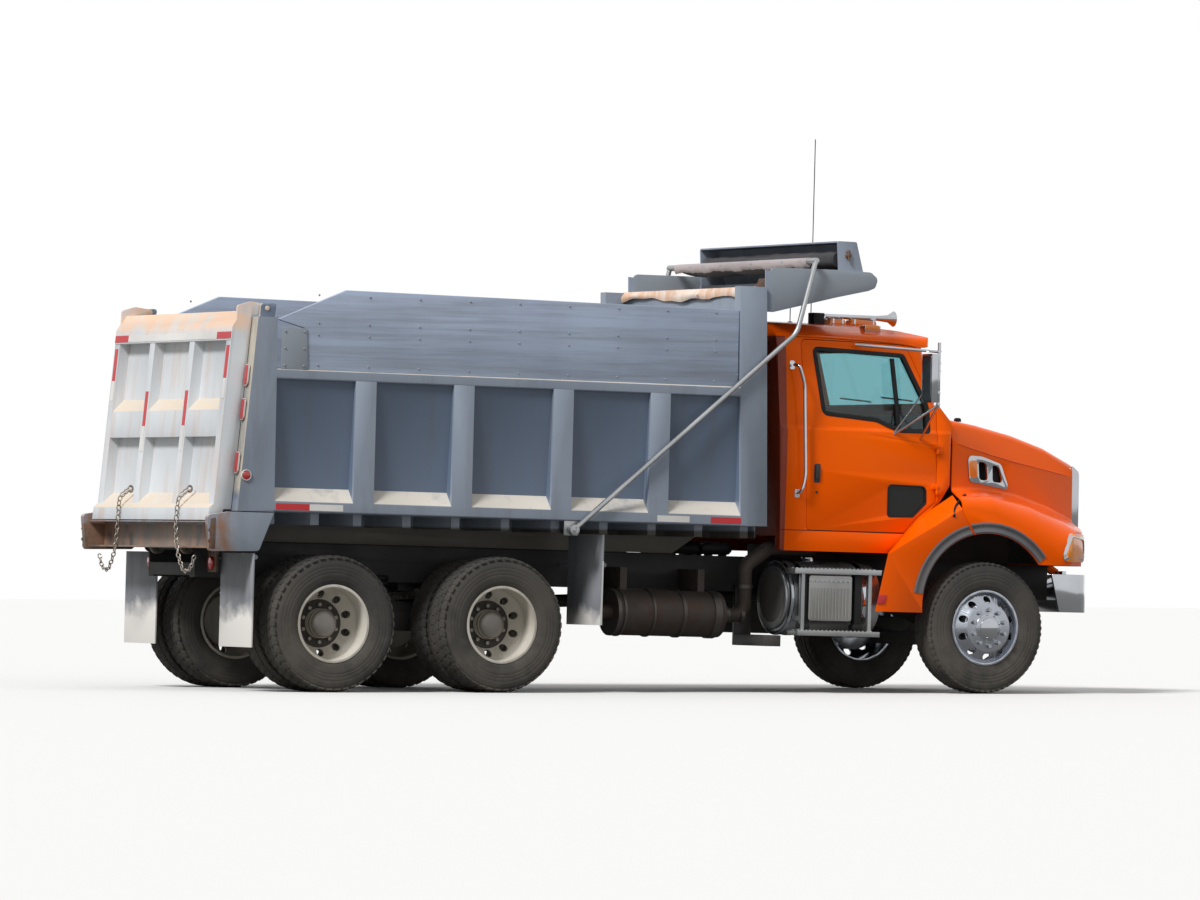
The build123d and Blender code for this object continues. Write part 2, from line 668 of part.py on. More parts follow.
# Roof: five marker lamps, the horn, a radio aerial's foot, and the aerials
horn_z = roof_z + 52
lamp_side = cab_half - 230
with BuildPart() as roof_fittings:
    for y, x in ((-lamp_side, 4090), (-200, 4300), (0, 4310), (200, 4300), (lamp_side, 4090)):
        block(mid + x - 70, mid + x + 70, y - 45, y + 45, roof_z - 140,
              (roof_z + 16 if abs(y) < lamp_side else 2916))
    bar((mid + 3810, -500, horn_z), (mid + 4290, -500, horn_z), 20)
    with BuildSketch(Plane.XZ.offset(500)) as bell:
        Polygon((mid + 4290, horn_z), (mid + 4290, horn_z + 20), (mid + 4390, horn_z + 30),
                (mid + 4440, horn_z + 62), (mid + 4440, horn_z), align=None)
    revolve(bell.sketch, axis=Axis((mid + 4290, -500, horn_z), (1, 0, 0)))
    for x in (mid + 3800, mid + 4250):
        block(x - 20, x + 20, -520, -480, roof_z - 120, horn_z)
    block(mid + 3700, mid + 3790, -545, -455, roof_z - 120, roof_z + 72)
    add(cab_form(-0.5), mode=Mode.SUBTRACT)
keep(roof_fittings.part, "roof_fittings")

with BuildPart() as antennas:
    for x, y, high in ((mid + 4129, 300, 1500), (mid + 4155, cab_half - 290, 640)):
        with Locations((x, y, roof_z - 6)):
            Cylinder(20, 50, align=(Align.CENTER, Align.CENTER, Align.MIN))
            Cylinder(4, high, align=(Align.CENTER, Align.CENTER, Align.MIN))
keep(antennas.part, "antennas")

# Hood with its two fenders: cross sections along the truck, from the bottom corner of the
# fender over its rounded edge and the root beside the hood up to the crown.
# Columns: x, root (half, z), fender edge (z, radius), crease (half, z), top edge (half, z), crown z
hood_sections = (
    (hood_rear_x, 966, 1650, 1560, 100, 968, 2022, 905, 2195, 2245),
    (mid + 5041, 890, 1653, 1575, 150, 884, 1957, 820, 2160, 2210),
    (mid + 5423, 778, 1617, 1480, 250, 774, 1891, 720, 2092, 2140),
    (mid + 5774, 681, 1528, 1345, 300, 673, 1835, 630, 2000, 2050),
    (nose_x, 600, 1423, 1190, 320, 594, 1782, 588, 1877, 1935),
)


def hood_form(inset):
    low = 700 - (10 if inset > 0 else 0)
    sections = []
    for (x, root_half, root_z, edge_z, edge_radius, crease_half, crease_z, top_half, top_z,
         crown_z) in hood_sections:
        if inset > 0 and x == nose_x:
            x -= inset
        if inset > 0 and x == hood_rear_x:
            x -= 2
        sections.append(outline_on(Plane.YZ.offset(x), both_halves([
            (-fender_half + inset, low), (-fender_half + inset, edge_z - inset, edge_radius - inset),
            (-root_half + inset, root_z - inset, 40), (-crease_half + inset, crease_z, 60),
            (-top_half + inset, top_z - inset, 70),
            (-top_half * 0.5, (top_z + 2 * crown_z) / 3 - inset, 300),
            (0, crown_z - inset),
        ], 0)).face())
    with BuildPart() as form:
        loft(sections, ruled=True)
        plan_cut(both_halves([
            (hood_rear_x - 10, -fender_half + inset), (mid + 5720 - inset, -fender_half + inset, 200),
            (mid + 5985 - inset, -910, 320), (nose_x - inset, -735 + inset, 60),
        ], 1), 600, 2400, mode=Mode.INTERSECT)
    return form.part


seam_outline = [(hood_rear_x - 60, 1470), (hood_rear_x, 1470), (mid + 4858, 1285), (mid + 4858, 1000),
                (hood_rear_x - 60, 1000)]
vent_slots = (
    [(mid + 5022, 1876, 20), (mid + 5110, 1866, 40), (mid + 5126, 1724, 25), (mid + 5034, 1732, 25)],
    [(mid + 5174, 1854, 20), (mid + 5250, 1838, 60), (mid + 5292, 1710, 25), (mid + 5180, 1718, 25)],
)
vent_outline = [(mid + 4908, 1921, 40), (mid + 5060, 1916, 200), (mid + 5270, 1862, 60),
                (mid + 5350, 1690, 30),
                (mid + 5330, 1662, 20), (mid + 4930, 1712, 30)]
hood_shell = hood_form(0) - hood_form(hood_wall)
grille_half = 470
grille_low = 1180
grille_high = 1790
with BuildPart() as hood:
    add(hood_shell)
    wheel_arch(arch_radius, -1300, 1300, Mode.SUBTRACT)
    side_cut(seam_outline, -1300, 1300, mode=Mode.SUBTRACT)
    block(mid + 4600, mid + 6300, -1300, 1300, 600, fender_low, mode=Mode.SUBTRACT)
    block(nose_x - 80, nose_x + 50, -grille_half, grille_half, grille_low, grille_high, mode=Mode.SUBTRACT)
    for slot in vent_slots:
        side_cut(slot, -1300, 1300, mode=Mode.SUBTRACT)
    for side in (1, -1):
        side_cut([(nose_x - 60, fender_low + 12), (nose_x, fender_low + 12),
                  (hood_pin_x + 20, hood_pin_z + 26),
                  (hood_pin_x + 20, hood_pin_z - 20), (hood_pin_x - 20, hood_pin_z - 20),
                  (nose_x - 60, fender_low - 20)], side * 240, side * 290)
        bar((hood_pin_x, side * 230, hood_pin_z), (hood_pin_x, side * 300, hood_pin_z),
            hood_pin_radius + 0.5,
            mode=Mode.SUBTRACT)
keep(hood.part, "hood")

with BuildPart() as vents:
    add(hood_form(-9) - hood_form(-0.3))
    side_cut(vent_outline, -1300, 1300, mode=Mode.INTERSECT)
    block(mid + 4800, mid + 5500, -1300, 1300, 1640, 2000, mode=Mode.INTERSECT)
    for slot in vent_slots:
        side_cut(slot, -1300, 1300, mode=Mode.SUBTRACT)
keep(vents.part, "vents")

surround_front = mid + 6160
surround_half = 562
bar_pitch = 78
with BuildPart() as grille:
    plan_cut(both_halves([(nose_x + 0.5, -surround_half - 24), (surround_front, -surround_half, 50)], 1),
             1108, 1880)
    side_cut([(nose_x, 1108), (nose_x, 1876, 8), (surround_front - 20, 1822, 60),
              (surround_front, 1600, 900),
              (surround_front - 12, 1108, 20)], -800, 800, mode=Mode.INTERSECT)
    block(nose_x - 10, surround_front + 50, -grille_half, grille_half, grille_low, grille_high - 30,
          mode=Mode.SUBTRACT)
    for index in range(12):
        y = (index - 5.5) * bar_pitch
        block(nose_x + 20, nose_x + 70, y - 9, y + 9, grille_low - 10, grille_high - 20)
    for z in (1330, 1480, 1630):
        block(nose_x + 30, nose_x + 60, -grille_half - 5, grille_half + 5, z - 8, z + 8)
keep(grille.part, "grille")

lamp_outline = [(mid + 5690, 1100, 20), (mid + 5740, 1322, 40), (mid + 6058, 1322, 20),
                (mid + 6058, 1100, 20)]
with BuildPart() as headlamps:
    add(hood_form(-14) - hood_form(-0.3))
    side_cut(lamp_outline, -1300, 1300, mode=Mode.INTERSECT)
    block(mid + 5600, mid + 6100, -640, 640, 900, 1500, mode=Mode.SUBTRACT)
keep(headlamps.part, "headlamps")

# Fixed quarter fenders behind the front wheels, with their liners
quarter_inner_y = cab_half + 7
quarter_edges = (
    (quarter_inner_y, [(4150, 950), (4180, 1138), (4335, 1296), (4452, 1418), (4600, 1512), (4738, 1600),
                       (4744, 1464), (4851, 1282), (4851, 1000), (4500, 950)]),
    (fender_half, [(3976, 668), (4080, 1120), (4285, 1236), (4520, 1366), (4650, 1446), (4738, 1492),
                   (4744, 1464), (4851, 1282), (4851, 1000), (4400, 668)]),
)
with BuildPart() as quarter_fenders:
    for side in (1, -1):
        sections = [
            outline_on(Plane.XZ.offset(-side * y), [(mid + x, z) for x, z in corners]).face()
            for y, corners in quarter_edges
        ]
        loft(sections, ruled=True)
    wheel_arch(arch_radius, -1300, 1300, Mode.SUBTRACT)
    for side in (1, -1):
        with BuildPart(mode=Mode.PRIVATE) as liner:
            wheel_arch(arch_radius + 14, side * 640, side * (quarter_inner_y + 2), Mode.ADD)
            wheel_arch(arch_radius + 2, side * 600, side * 1200, Mode.SUBTRACT)
            side_cut([(mid + 4380, 860), (mid + 4380, 1310), (mid + 4840, 1310), (mid + 4840, 860)],
                     side * 600, side * 1200, mode=Mode.INTERSECT)
        add(liner.part)
keep(quarter_fenders.part, "quarter_fenders")

# Bed floor with its long sills, rear beam and tipping lugs
sill_low = rail_top + 10
beam_rear = mid - 1736
beam_front = mid - 1590
beam_low = 1014
beam_top = 1218
floor_front_x = bed_front_x - 68
rear_post_inner = bed_half - 136
beam_half = bed_half - 60
lift_pin = (mid + 2180, 1160)
bed_beam_xs = [mid + x for x in (-1220, -850, -492, -78, 336, 760, 1186, 1605, 2024, 2430, 2830)]
with BuildPart() as bed_floor:
    block(post_front_x, floor_front_x, -panel_low_y, panel_low_y, floor_z, floor_z + floor_thick)
    block(post_foot_x, post_front_x, -rear_post_inner + 0.3, rear_post_inner - 0.3, floor_z,
          floor_z + floor_thick)
    for side in (1, -1):
        side_cut([(beam_front, sill_low), (beam_front, floor_z - 60), (post_foot_x, floor_z - 60),
                  (post_foot_x, floor_z), (bed_front_x - 96, floor_z), (mid + 2555, sill_low)],
                 side * (frame_half - 70), side * frame_half)
        block(pivot_x - 60, pivot_x + 60, side * 260, side * 300, pivot_z, floor_z)
        bar((pivot_x, side * 260, pivot_z), (pivot_x, side * 300, pivot_z), 60)
        side_cut([(post_front_x, floor_z - 8), (mid - 1352, 1001, 30), (mid - 1755, 991, 20),
                  (mid - rear_reach, 1262, 30), (mid - 1600, floor_z - 8)], side * (bed_half - 52),
                  side * bed_half)
        block(lift_pin[0] - 60, lift_pin[0] + 60, side * 62, side * 90, lift_pin[1] - 40, floor_z)
    for x in bed_beam_xs:
        block(x - 35, x + 35, -panel_low_y, panel_low_y, floor_z - 90, floor_z)
    block(beam_rear, beam_front, -beam_half, beam_half, beam_top - 10, beam_top)
    block(beam_front - 12, beam_front, -beam_half, beam_half, beam_low, beam_top)
    block(beam_rear, beam_front, -beam_half, beam_half, beam_low, beam_low + 12)
    for side in (1, -1):
        bar((pivot_x, side * 240, pivot_z), (pivot_x, side * 320, pivot_z), pivot_radius + 0.5,
            mode=Mode.SUBTRACT)
keep(bed_floor.part, "bed_floor")

# Bed sides: a leaning sheet between the rails, with the posts outside it
ledge_top = bottom_rail_top + ledge_height
gate_pin = (mid - 1303, 2837)
gate_pin_radius = 18
sheet_front = bed_front_x - 120
post_rear_top = post_foot_x + post_lean * (post_top_z - floor_z)


def front_post_x(z):
    """The front edge of the bed's front post, which leans back a little."""
    return bed_front_x - front_lean * (z - floor_z)


for side, name in ((1, "left"), (-1, "right")):
    with BuildPart() as bed_side:
        cross_cut(sided([
            (panel_low_y + 0.3, floor_z + floor_thick + 0.3), (panel_low_y + 0.3, floor_z),
            (bed_half, bottom_rail_top - bottom_rail_height, 12), (bed_half, bottom_rail_top, 12),
            (panel_low_y + wall, ledge_top), (panel_high_y + wall, top_rail_low),
            (bed_half, top_rail_low, 12),
            (bed_half, top_rail_top, 12), (panel_high_y - 50, top_rail_top, 12),
            (panel_high_y - 50, top_rail_low),
            (panel_high_y, top_rail_low), (panel_low_y, ledge_top)], side), post_front_x - 40, sheet_front)
        for x in side_post_xs:
            block(x - side_post_width / 2, x + side_post_width / 2, side * (panel_low_y + 4),
                  side * bed_half,
                  bottom_rail_top - 20, top_rail_low + 5)
        side_cut([(front_post_x(floor_z), bottom_rail_top - bottom_rail_height + 2),
                  (front_post_x(bulkhead_top), bulkhead_top),
                  (front_post_x(bulkhead_top) - front_post_width, bulkhead_top),
                  (front_post_x(floor_z) - front_post_width, bottom_rail_top - bottom_rail_height + 2)],
                 side * (panel_low_y + 4), side * bed_half)
        side_cut([(post_foot_x, floor_z), (post_rear_top, post_top_z), (mid - 1245, post_top_z),
                  (post_front_x, floor_z)], side * rear_post_inner, side * bed_half)
        side_cut([(gate_pin[0] - 58, post_top_z - 10), (gate_pin[0] - 50, gate_pin[1] + 32, 20),
                  (gate_pin[0] + 78, gate_pin[1] + 40, 20), (gate_pin[0] + 62, post_top_z - 10)],
                 side * (rear_post_inner + 34), side * (rear_post_inner + 62))
        bar((gate_pin[0], side * (rear_post_inner + 20), gate_pin[1]),
            (gate_pin[0], side * (rear_post_inner + 80), gate_pin[1]), gate_pin_radius + 0.5,
            mode=Mode.SUBTRACT)
    keep(bed_side.part, "bed_side_" + name)

with BuildPart() as bed_front:
    side_cut([(front_post_x(floor_z) - 48, floor_z - 90), (front_post_x(bulkhead_top) - 48, bulkhead_top),
              (front_post_x(bulkhead_top) - 58, bulkhead_top), (front_post_x(floor_z) - 58, floor_z - 90)],
             -panel_low_y, panel_low_y)
    for y in (-800, -270, 270, 800):
        side_cut([(front_post_x(floor_z), floor_z - 90), (front_post_x(bulkhead_top), bulkhead_top),
                  (front_post_x(bulkhead_top) - 50, bulkhead_top),
                  (front_post_x(floor_z) - 50, floor_z - 90)],
                 y - 50, y + 50)
keep(bed_front.part, "bed_front")

board_outer = bed_half - 12
board_front_x = front_post_x(board_top) - front_post_width - 2
with BuildPart() as side_boards:
    for side in (1, -1):
        side_cut([(mid - 999, top_rail_top), (mid - 1006, board_joint), (mid - 1236, 2755),
                  (mid - 668, board_top + 6),
                  (board_front_x, board_top - 14), (board_front_x, top_rail_top)],
                 side * board_outer, side * (board_outer - board_thick))
keep(side_boards.part, "side_boards")

# Cab guard and the tarp housing on it
guard_half = bed_half - 38
guard_plate = 12
guard_back_x = front_post_x(bulkhead_top) + 2
with BuildPart() as cab_guard:
    for side in (1, -1):
        side_cut([(front_post_x(2975) + 2, 2975), (guard_back_x - 4, 3299), (mid + 3902, 3221),
                  (mid + 3840, 3179),
                  (mid + 3003, 2975)], side * guard_half, side * (guard_half + guard_plate))
        side_cut([(mid + 3562, 3552, 14), (mid + 3731, 3551, 14), (mid + 3822, 3218), (mid + 3580, 3239)],
                 side * (guard_half - guard_plate), side * guard_half)
    side_cut([(guard_back_x, 3148), (mid + 3850, 3184), (mid + 3850, 3196), (guard_back_x, 3160)],
             -guard_half, guard_half)
    side_cut([(mid + 3719, 3551), (mid + 3731, 3551), (mid + 3822, 3196), (mid + 3810, 3196)],
             -guard_half + guard_plate, guard_half - guard_plate)
    side_cut([(mid + 3562, 3540), (mid + 3731, 3539), (mid + 3731, 3551), (mid + 3562, 3552)],
             -guard_half + guard_plate, guard_half - guard_plate)
    block(mid + 3565, mid + 3577, -guard_half + guard_plate, guard_half - guard_plate, 3196, 3250)
keep(cab_guard.part, "cab_guard")

roller_x = mid + 3612
roller_z = 3401
roller_half = guard_half - guard_plate - 18
with BuildPart() as tarp_roll:
    bar((roller_x, -roller_half, roller_z), (roller_x, roller_half, roller_z), 62)
    for side in (1, -1):
        bar((roller_x, side * (roller_half - 5), roller_z),
            (roller_x, side * (guard_half - guard_plate), roller_z), 20)
keep(tarp_roll.part, "tarp_roll")

lamp_zs = (1664, 2068, 2327)
lamp_y = (rear_post_inner + bed_half) / 2
with BuildPart() as bed_lamps:
    for side in (1, -1):
        for z in lamp_zs:
            x = post_foot_x + post_lean * (z - 76 - floor_z)
            block(x - 14, x, side * (lamp_y - 26), side * (lamp_y + 26), z - 76, z + 76)
        bar((mid - 1475, side * bed_half, 1570), (mid - 1475, side * (bed_half + 14), 1570), 32)
keep(bed_lamps.part, "bed_lamps")

# Tarp arms: two bent tubes and the bow between them
arm_y = bed_half + 34
arm_radius = 20
arm_pivot = (mid + 1283, 1232)
arm_bend = (mid + 3182, 2818)
arm_tip = (mid + 3333, 3386)
arm_pin_radius = 14
with BuildPart() as tarp_arms:
    for side in (1, -1):
        pipe([(arm_pivot[0], side * arm_y, arm_pivot[1]), (arm_bend[0], side * arm_y, arm_bend[1]),
              (arm_tip[0], side * arm_y, arm_tip[1])], arm_radius, 180)
        bar((arm_pivot[0], side * (arm_y - 22), arm_pivot[1]),
            (arm_pivot[0], side * (arm_y + 22), arm_pivot[1]), 40)
    bar((arm_tip[0], -arm_y - 15, arm_tip[1]), (arm_tip[0], arm_y + 15, arm_tip[1]), 24)
    for side in (1, -1):
        bar((arm_pivot[0], side * (arm_y - 40), arm_pivot[1]),
            (arm_pivot[0], side * (arm_y + 40), arm_pivot[1]),
            arm_pin_radius + 0.5, mode=Mode.SUBTRACT)
keep(tarp_arms.part, "tarp_arms")

with BuildPart() as arm_pins:
    for side in (1, -1):
        bar((arm_pivot[0], side * (bed_half - 12), arm_pivot[1]),
            (arm_pivot[0], side * (arm_y + 26), arm_pivot[1]),
            arm_pin_radius)
        block(arm_pivot[0] - 60, arm_pivot[0] + 60, side * (bed_half - 24), side * (bed_half - 10), 1190,
              floor_z + 2.5)
keep(arm_pins.part, "arm_pins")

# Tailgate, hung from its top
gate_half = bed_half - 108
gate_front_foot = post_foot_x - gap
gate_low = 1226
gate_high = 2812
gate_depth = 148
foot_depth = 181
sheet_depth = 62
stile_width = 92


def on_gate(depth, z, radius=0):
    """A corner of the gate's side view, depth behind its inner face at height z."""
    return (gate_front_foot - depth + post_lean * (z - floor_z), z, radius)


# The path of each spreader chain: how far in from the gate's edge, x, z
chain_radius = 7
chain_path = (
    (535, -1655, 1462), (535, -1738, 1400), (545, -1752, 1250), (530, -1752, 1080), (480, -1752, 950),
    (380, -1750, 830), (260, -1748, 850), (190, -1746, 960),
)
with BuildPart() as tailgate:
    side_cut([on_gate(0, gate_low + 84), on_gate(0, gate_high), on_gate(sheet_depth, gate_high),
              on_gate(sheet_depth, gate_low + 84)], -gate_half, gate_half)
    for y in (-gate_half + stile_width / 2, -372, 372, gate_half - stile_width / 2):
        side_cut([on_gate(60, gate_low + 90), on_gate(60, 2680), on_gate(gate_depth, 2620),
                  on_gate(gate_depth, gate_low + 90)], y - stile_width / 2, y + stile_width / 2)
    side_cut([on_gate(60, 2588), on_gate(60, gate_high, 20), on_gate(84, gate_high, 20),
              on_gate(gate_depth + 4, 2690), on_gate(gate_depth + 4, 2588)], -gate_half, gate_half)
    side_cut([on_gate(60, 1859), on_gate(60, 2155), on_gate(gate_depth - 4, 2063),
              on_gate(gate_depth - 4, 1859)],
             -gate_half, gate_half)
    side_cut([on_gate(60, gate_low + 90), on_gate(60, 1436), on_gate(foot_depth, 1318),
              on_gate(foot_depth, gate_low), on_gate(80, gate_low)], -gate_half, gate_half)
    for side in (1, -1):
        side_cut([on_gate(40, 2530), on_gate(2, 2700), on_gate(2, 2780), (gate_pin[0] - 40, 2792),
                  (gate_pin[0] + 26, 2800), (gate_pin[0] + 28, 2866, 24), (gate_pin[0] - 120, 2884, 60),
                  on_gate(128, 2850, 20), on_gate(110, 2530)], side * (gate_half - 22), side * gate_half)
        bar((gate_pin[0], side * (gate_half - 20), gate_pin[1]),
            (gate_pin[0], side * (rear_post_inner + 68), gate_pin[1]), gate_pin_radius)
        pipe([(mid + x, side * (gate_half - inward), z) for inward, x, z in chain_path], chain_radius, 22)
keep(tailgate.part, "tailgate")

# Hoist: a barrel on the frame and the rod that lifts the bed
hoist_run = hypot(lift_pin[0] - hoist_x, lift_pin[1] - hoist_z)
hoist_dir = ((lift_pin[0] - hoist_x) / hoist_run, (lift_pin[1] - hoist_z) / hoist_run)


def on_hoist(reach):
    return (hoist_x + hoist_dir[0] * reach, 0, hoist_z + hoist_dir[1] * reach)


with BuildPart() as hoist_barrel:
    bar(on_hoist(60), on_hoist(1740), 85)
    bar((hoist_x, -60, hoist_z), (hoist_x, 60, hoist_z), 75)
    bar((hoist_x, -80, hoist_z), (hoist_x, 80, hoist_z), hoist_pin_radius + 0.5, mode=Mode.SUBTRACT)
    bar(on_hoist(110), on_hoist(1900), 56, mode=Mode.SUBTRACT)
keep(hoist_barrel.part, "hoist_barrel")

with BuildPart() as hoist_rod:
    bar(on_hoist(130), on_hoist(hoist_run), 50)
    bar((lift_pin[0], -50, lift_pin[1]), (lift_pin[0], 50, lift_pin[1]), 60)
keep(hoist_rod.part, "hoist_rod")

print(len(made), "pieces, length", round(front_reach + rear_reach))
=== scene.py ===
import bmesh
import bpy
import json
import math
from mathutils import Matrix, Vector
from mathutils.bvhtree import BVHTree


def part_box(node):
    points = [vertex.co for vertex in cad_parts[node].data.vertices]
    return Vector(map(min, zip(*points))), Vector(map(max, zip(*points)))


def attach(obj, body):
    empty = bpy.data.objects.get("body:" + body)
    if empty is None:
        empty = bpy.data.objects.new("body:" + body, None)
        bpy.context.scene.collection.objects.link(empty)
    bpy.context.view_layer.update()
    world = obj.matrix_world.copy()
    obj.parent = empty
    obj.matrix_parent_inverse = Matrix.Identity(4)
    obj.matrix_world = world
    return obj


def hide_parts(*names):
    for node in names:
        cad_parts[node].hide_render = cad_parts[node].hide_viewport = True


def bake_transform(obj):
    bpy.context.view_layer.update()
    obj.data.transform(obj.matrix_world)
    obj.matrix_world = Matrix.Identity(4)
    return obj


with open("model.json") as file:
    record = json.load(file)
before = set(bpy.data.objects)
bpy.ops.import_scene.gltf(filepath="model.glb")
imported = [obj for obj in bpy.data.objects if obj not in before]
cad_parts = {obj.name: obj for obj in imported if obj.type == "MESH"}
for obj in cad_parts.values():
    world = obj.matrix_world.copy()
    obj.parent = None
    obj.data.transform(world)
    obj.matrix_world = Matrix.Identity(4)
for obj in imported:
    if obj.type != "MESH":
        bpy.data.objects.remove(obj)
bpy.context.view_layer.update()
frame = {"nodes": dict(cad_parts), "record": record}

# The truck's own datum: places are in millimetres from the middle of the rear axle pair
rearMiddle = (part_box("tyres_rear_1_left")[0][0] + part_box("tyres_rear_2_left")[1][0]) / 2
sides = (("left", 1), ("right", -1))
rake = {"degrees": 0.94, "aboutX": 2500, "aboutZ": 1000}  # the chassis stands a little nose down


def ground(x, y, z):
    # For what stands on the wheels
    return Vector((rearMiddle + x / 1000, y / 1000, z / 1000))


def level(x, y, z):
    # For what is drawn level and raked with the chassis
    turn = math.radians(rake["degrees"])
    dx, dz = x - rake["aboutX"], z - rake["aboutZ"]
    return ground(rake["aboutX"] + dx * math.cos(turn) + dz * math.sin(turn), y,
                  rake["aboutZ"] - dx * math.sin(turn) + dz * math.cos(turn))


def heading(x, z):
    # A direction drawn level and raked with the chassis, as a very short vector
    return level(x, 0, z) - level(0, 0, 0)


def sideAt(y):
    # Where an outline of (x, z) goes, at one place across the truck
    return lambda a, b: level(a, y, b)


def backAt(x):
    # Where an outline of (y, z) goes, at one place along the truck
    return lambda a, b: level(x, a, b)


forward, upward = heading(1, 0), heading(0, 1)


# Small helpers for node trees

def addNode(tree, kind, **settings):
    node = tree.nodes.new(kind)
    for key, value in settings.items():
        setattr(node, key, value)
    return node


def feed(tree, node, pairs):
    # Each socket takes a link or a plain value
    for socket, value in pairs:
        if isinstance(value, bpy.types.NodeSocket):
            tree.links.new(value, node.inputs[socket])
        else:
            node.inputs[socket].default_value = value


def mixColour(tree, factor, first, second):
    node = addNode(tree, "ShaderNodeMix", data_type="RGBA")
    feed(tree, node, ((0, factor), (6, first), (7, second)))
    return node.outputs[2]


def mathOf(tree, operation, *values):
    node = addNode(tree, "ShaderNodeMath", operation=operation)
    feed(tree, node, enumerate(values))
    return node.outputs[0]


def noiseOf(tree, coords, scale, detail=4.0, rough=0.55, stretch=None):
    if stretch:
        mapping = addNode(tree, "ShaderNodeMapping")
        feed(tree, mapping, (("Scale", stretch), ("Vector", coords)))
        coords = mapping.outputs["Vector"]
    noise = addNode(tree, "ShaderNodeTexNoise")
    feed(tree, noise, (("Scale", scale), ("Detail", detail), ("Roughness", rough), ("Vector", coords)))
    return noise.outputs["Fac"]


def rangeOf(tree, value, low, high, outLow=0.0, outHigh=1.0):
    node = addNode(tree, "ShaderNodeMapRange", clamp=True)
    feed(tree, node, (("From Min", low), ("From Max", high), ("To Min", outLow), ("To Max", outHigh),
                      ("Value", value)))
    return node.outputs["Result"]


def splitOf(tree, kind):
    # X, Y and Z of a place on the piece, or of the way its surface faces
    split = addNode(tree, "ShaderNodeSeparateXYZ")
    tree.links.new(addNode(tree, "ShaderNodeTexCoord").outputs[kind], split.inputs["Vector"])
    return split.outputs


def tone(red, green, blue):
    # A display colour from 0 to 255 as the linear value that shaders take
    out = []
    for value in (red, green, blue):
        c = value / 255
        out.append(c / 12.92 if c <= 0.04045 else ((c + 0.055) / 1.055) ** 2.4)
    return (*out, 1.0)


def startMaterial(name):
    material = bpy.data.materials.new(name)
    material.use_nodes = True
    return material, material.node_tree, material.node_tree.nodes["Principled BSDF"]


# Where marks of wear, painted shade and painted light begin and end, in metres on the truck at rest
wearAndPaintedLightPlaces = {
    "panelDepth": (1.178, 1.172), "panelFoot": (1.44, 1.5), "panelHead": (2.94, 2.9),
    "beamTop": (1.27, 1.25), "beamOut": (1.19, 1.18), "sillOut": (0.6, 0.58),
    "rearReach": (rearMiddle - 1.52, rearMiddle - 1.60), "rearTop": (1.46, 1.4),
    "postReach": (rearMiddle - 1.0, rearMiddle - 1.1), "postFoot": (1.48, 1.54), "gateCap": (2.70, 2.78),
    "dustFoot": 0.1, "lowFade": 0.1,
}


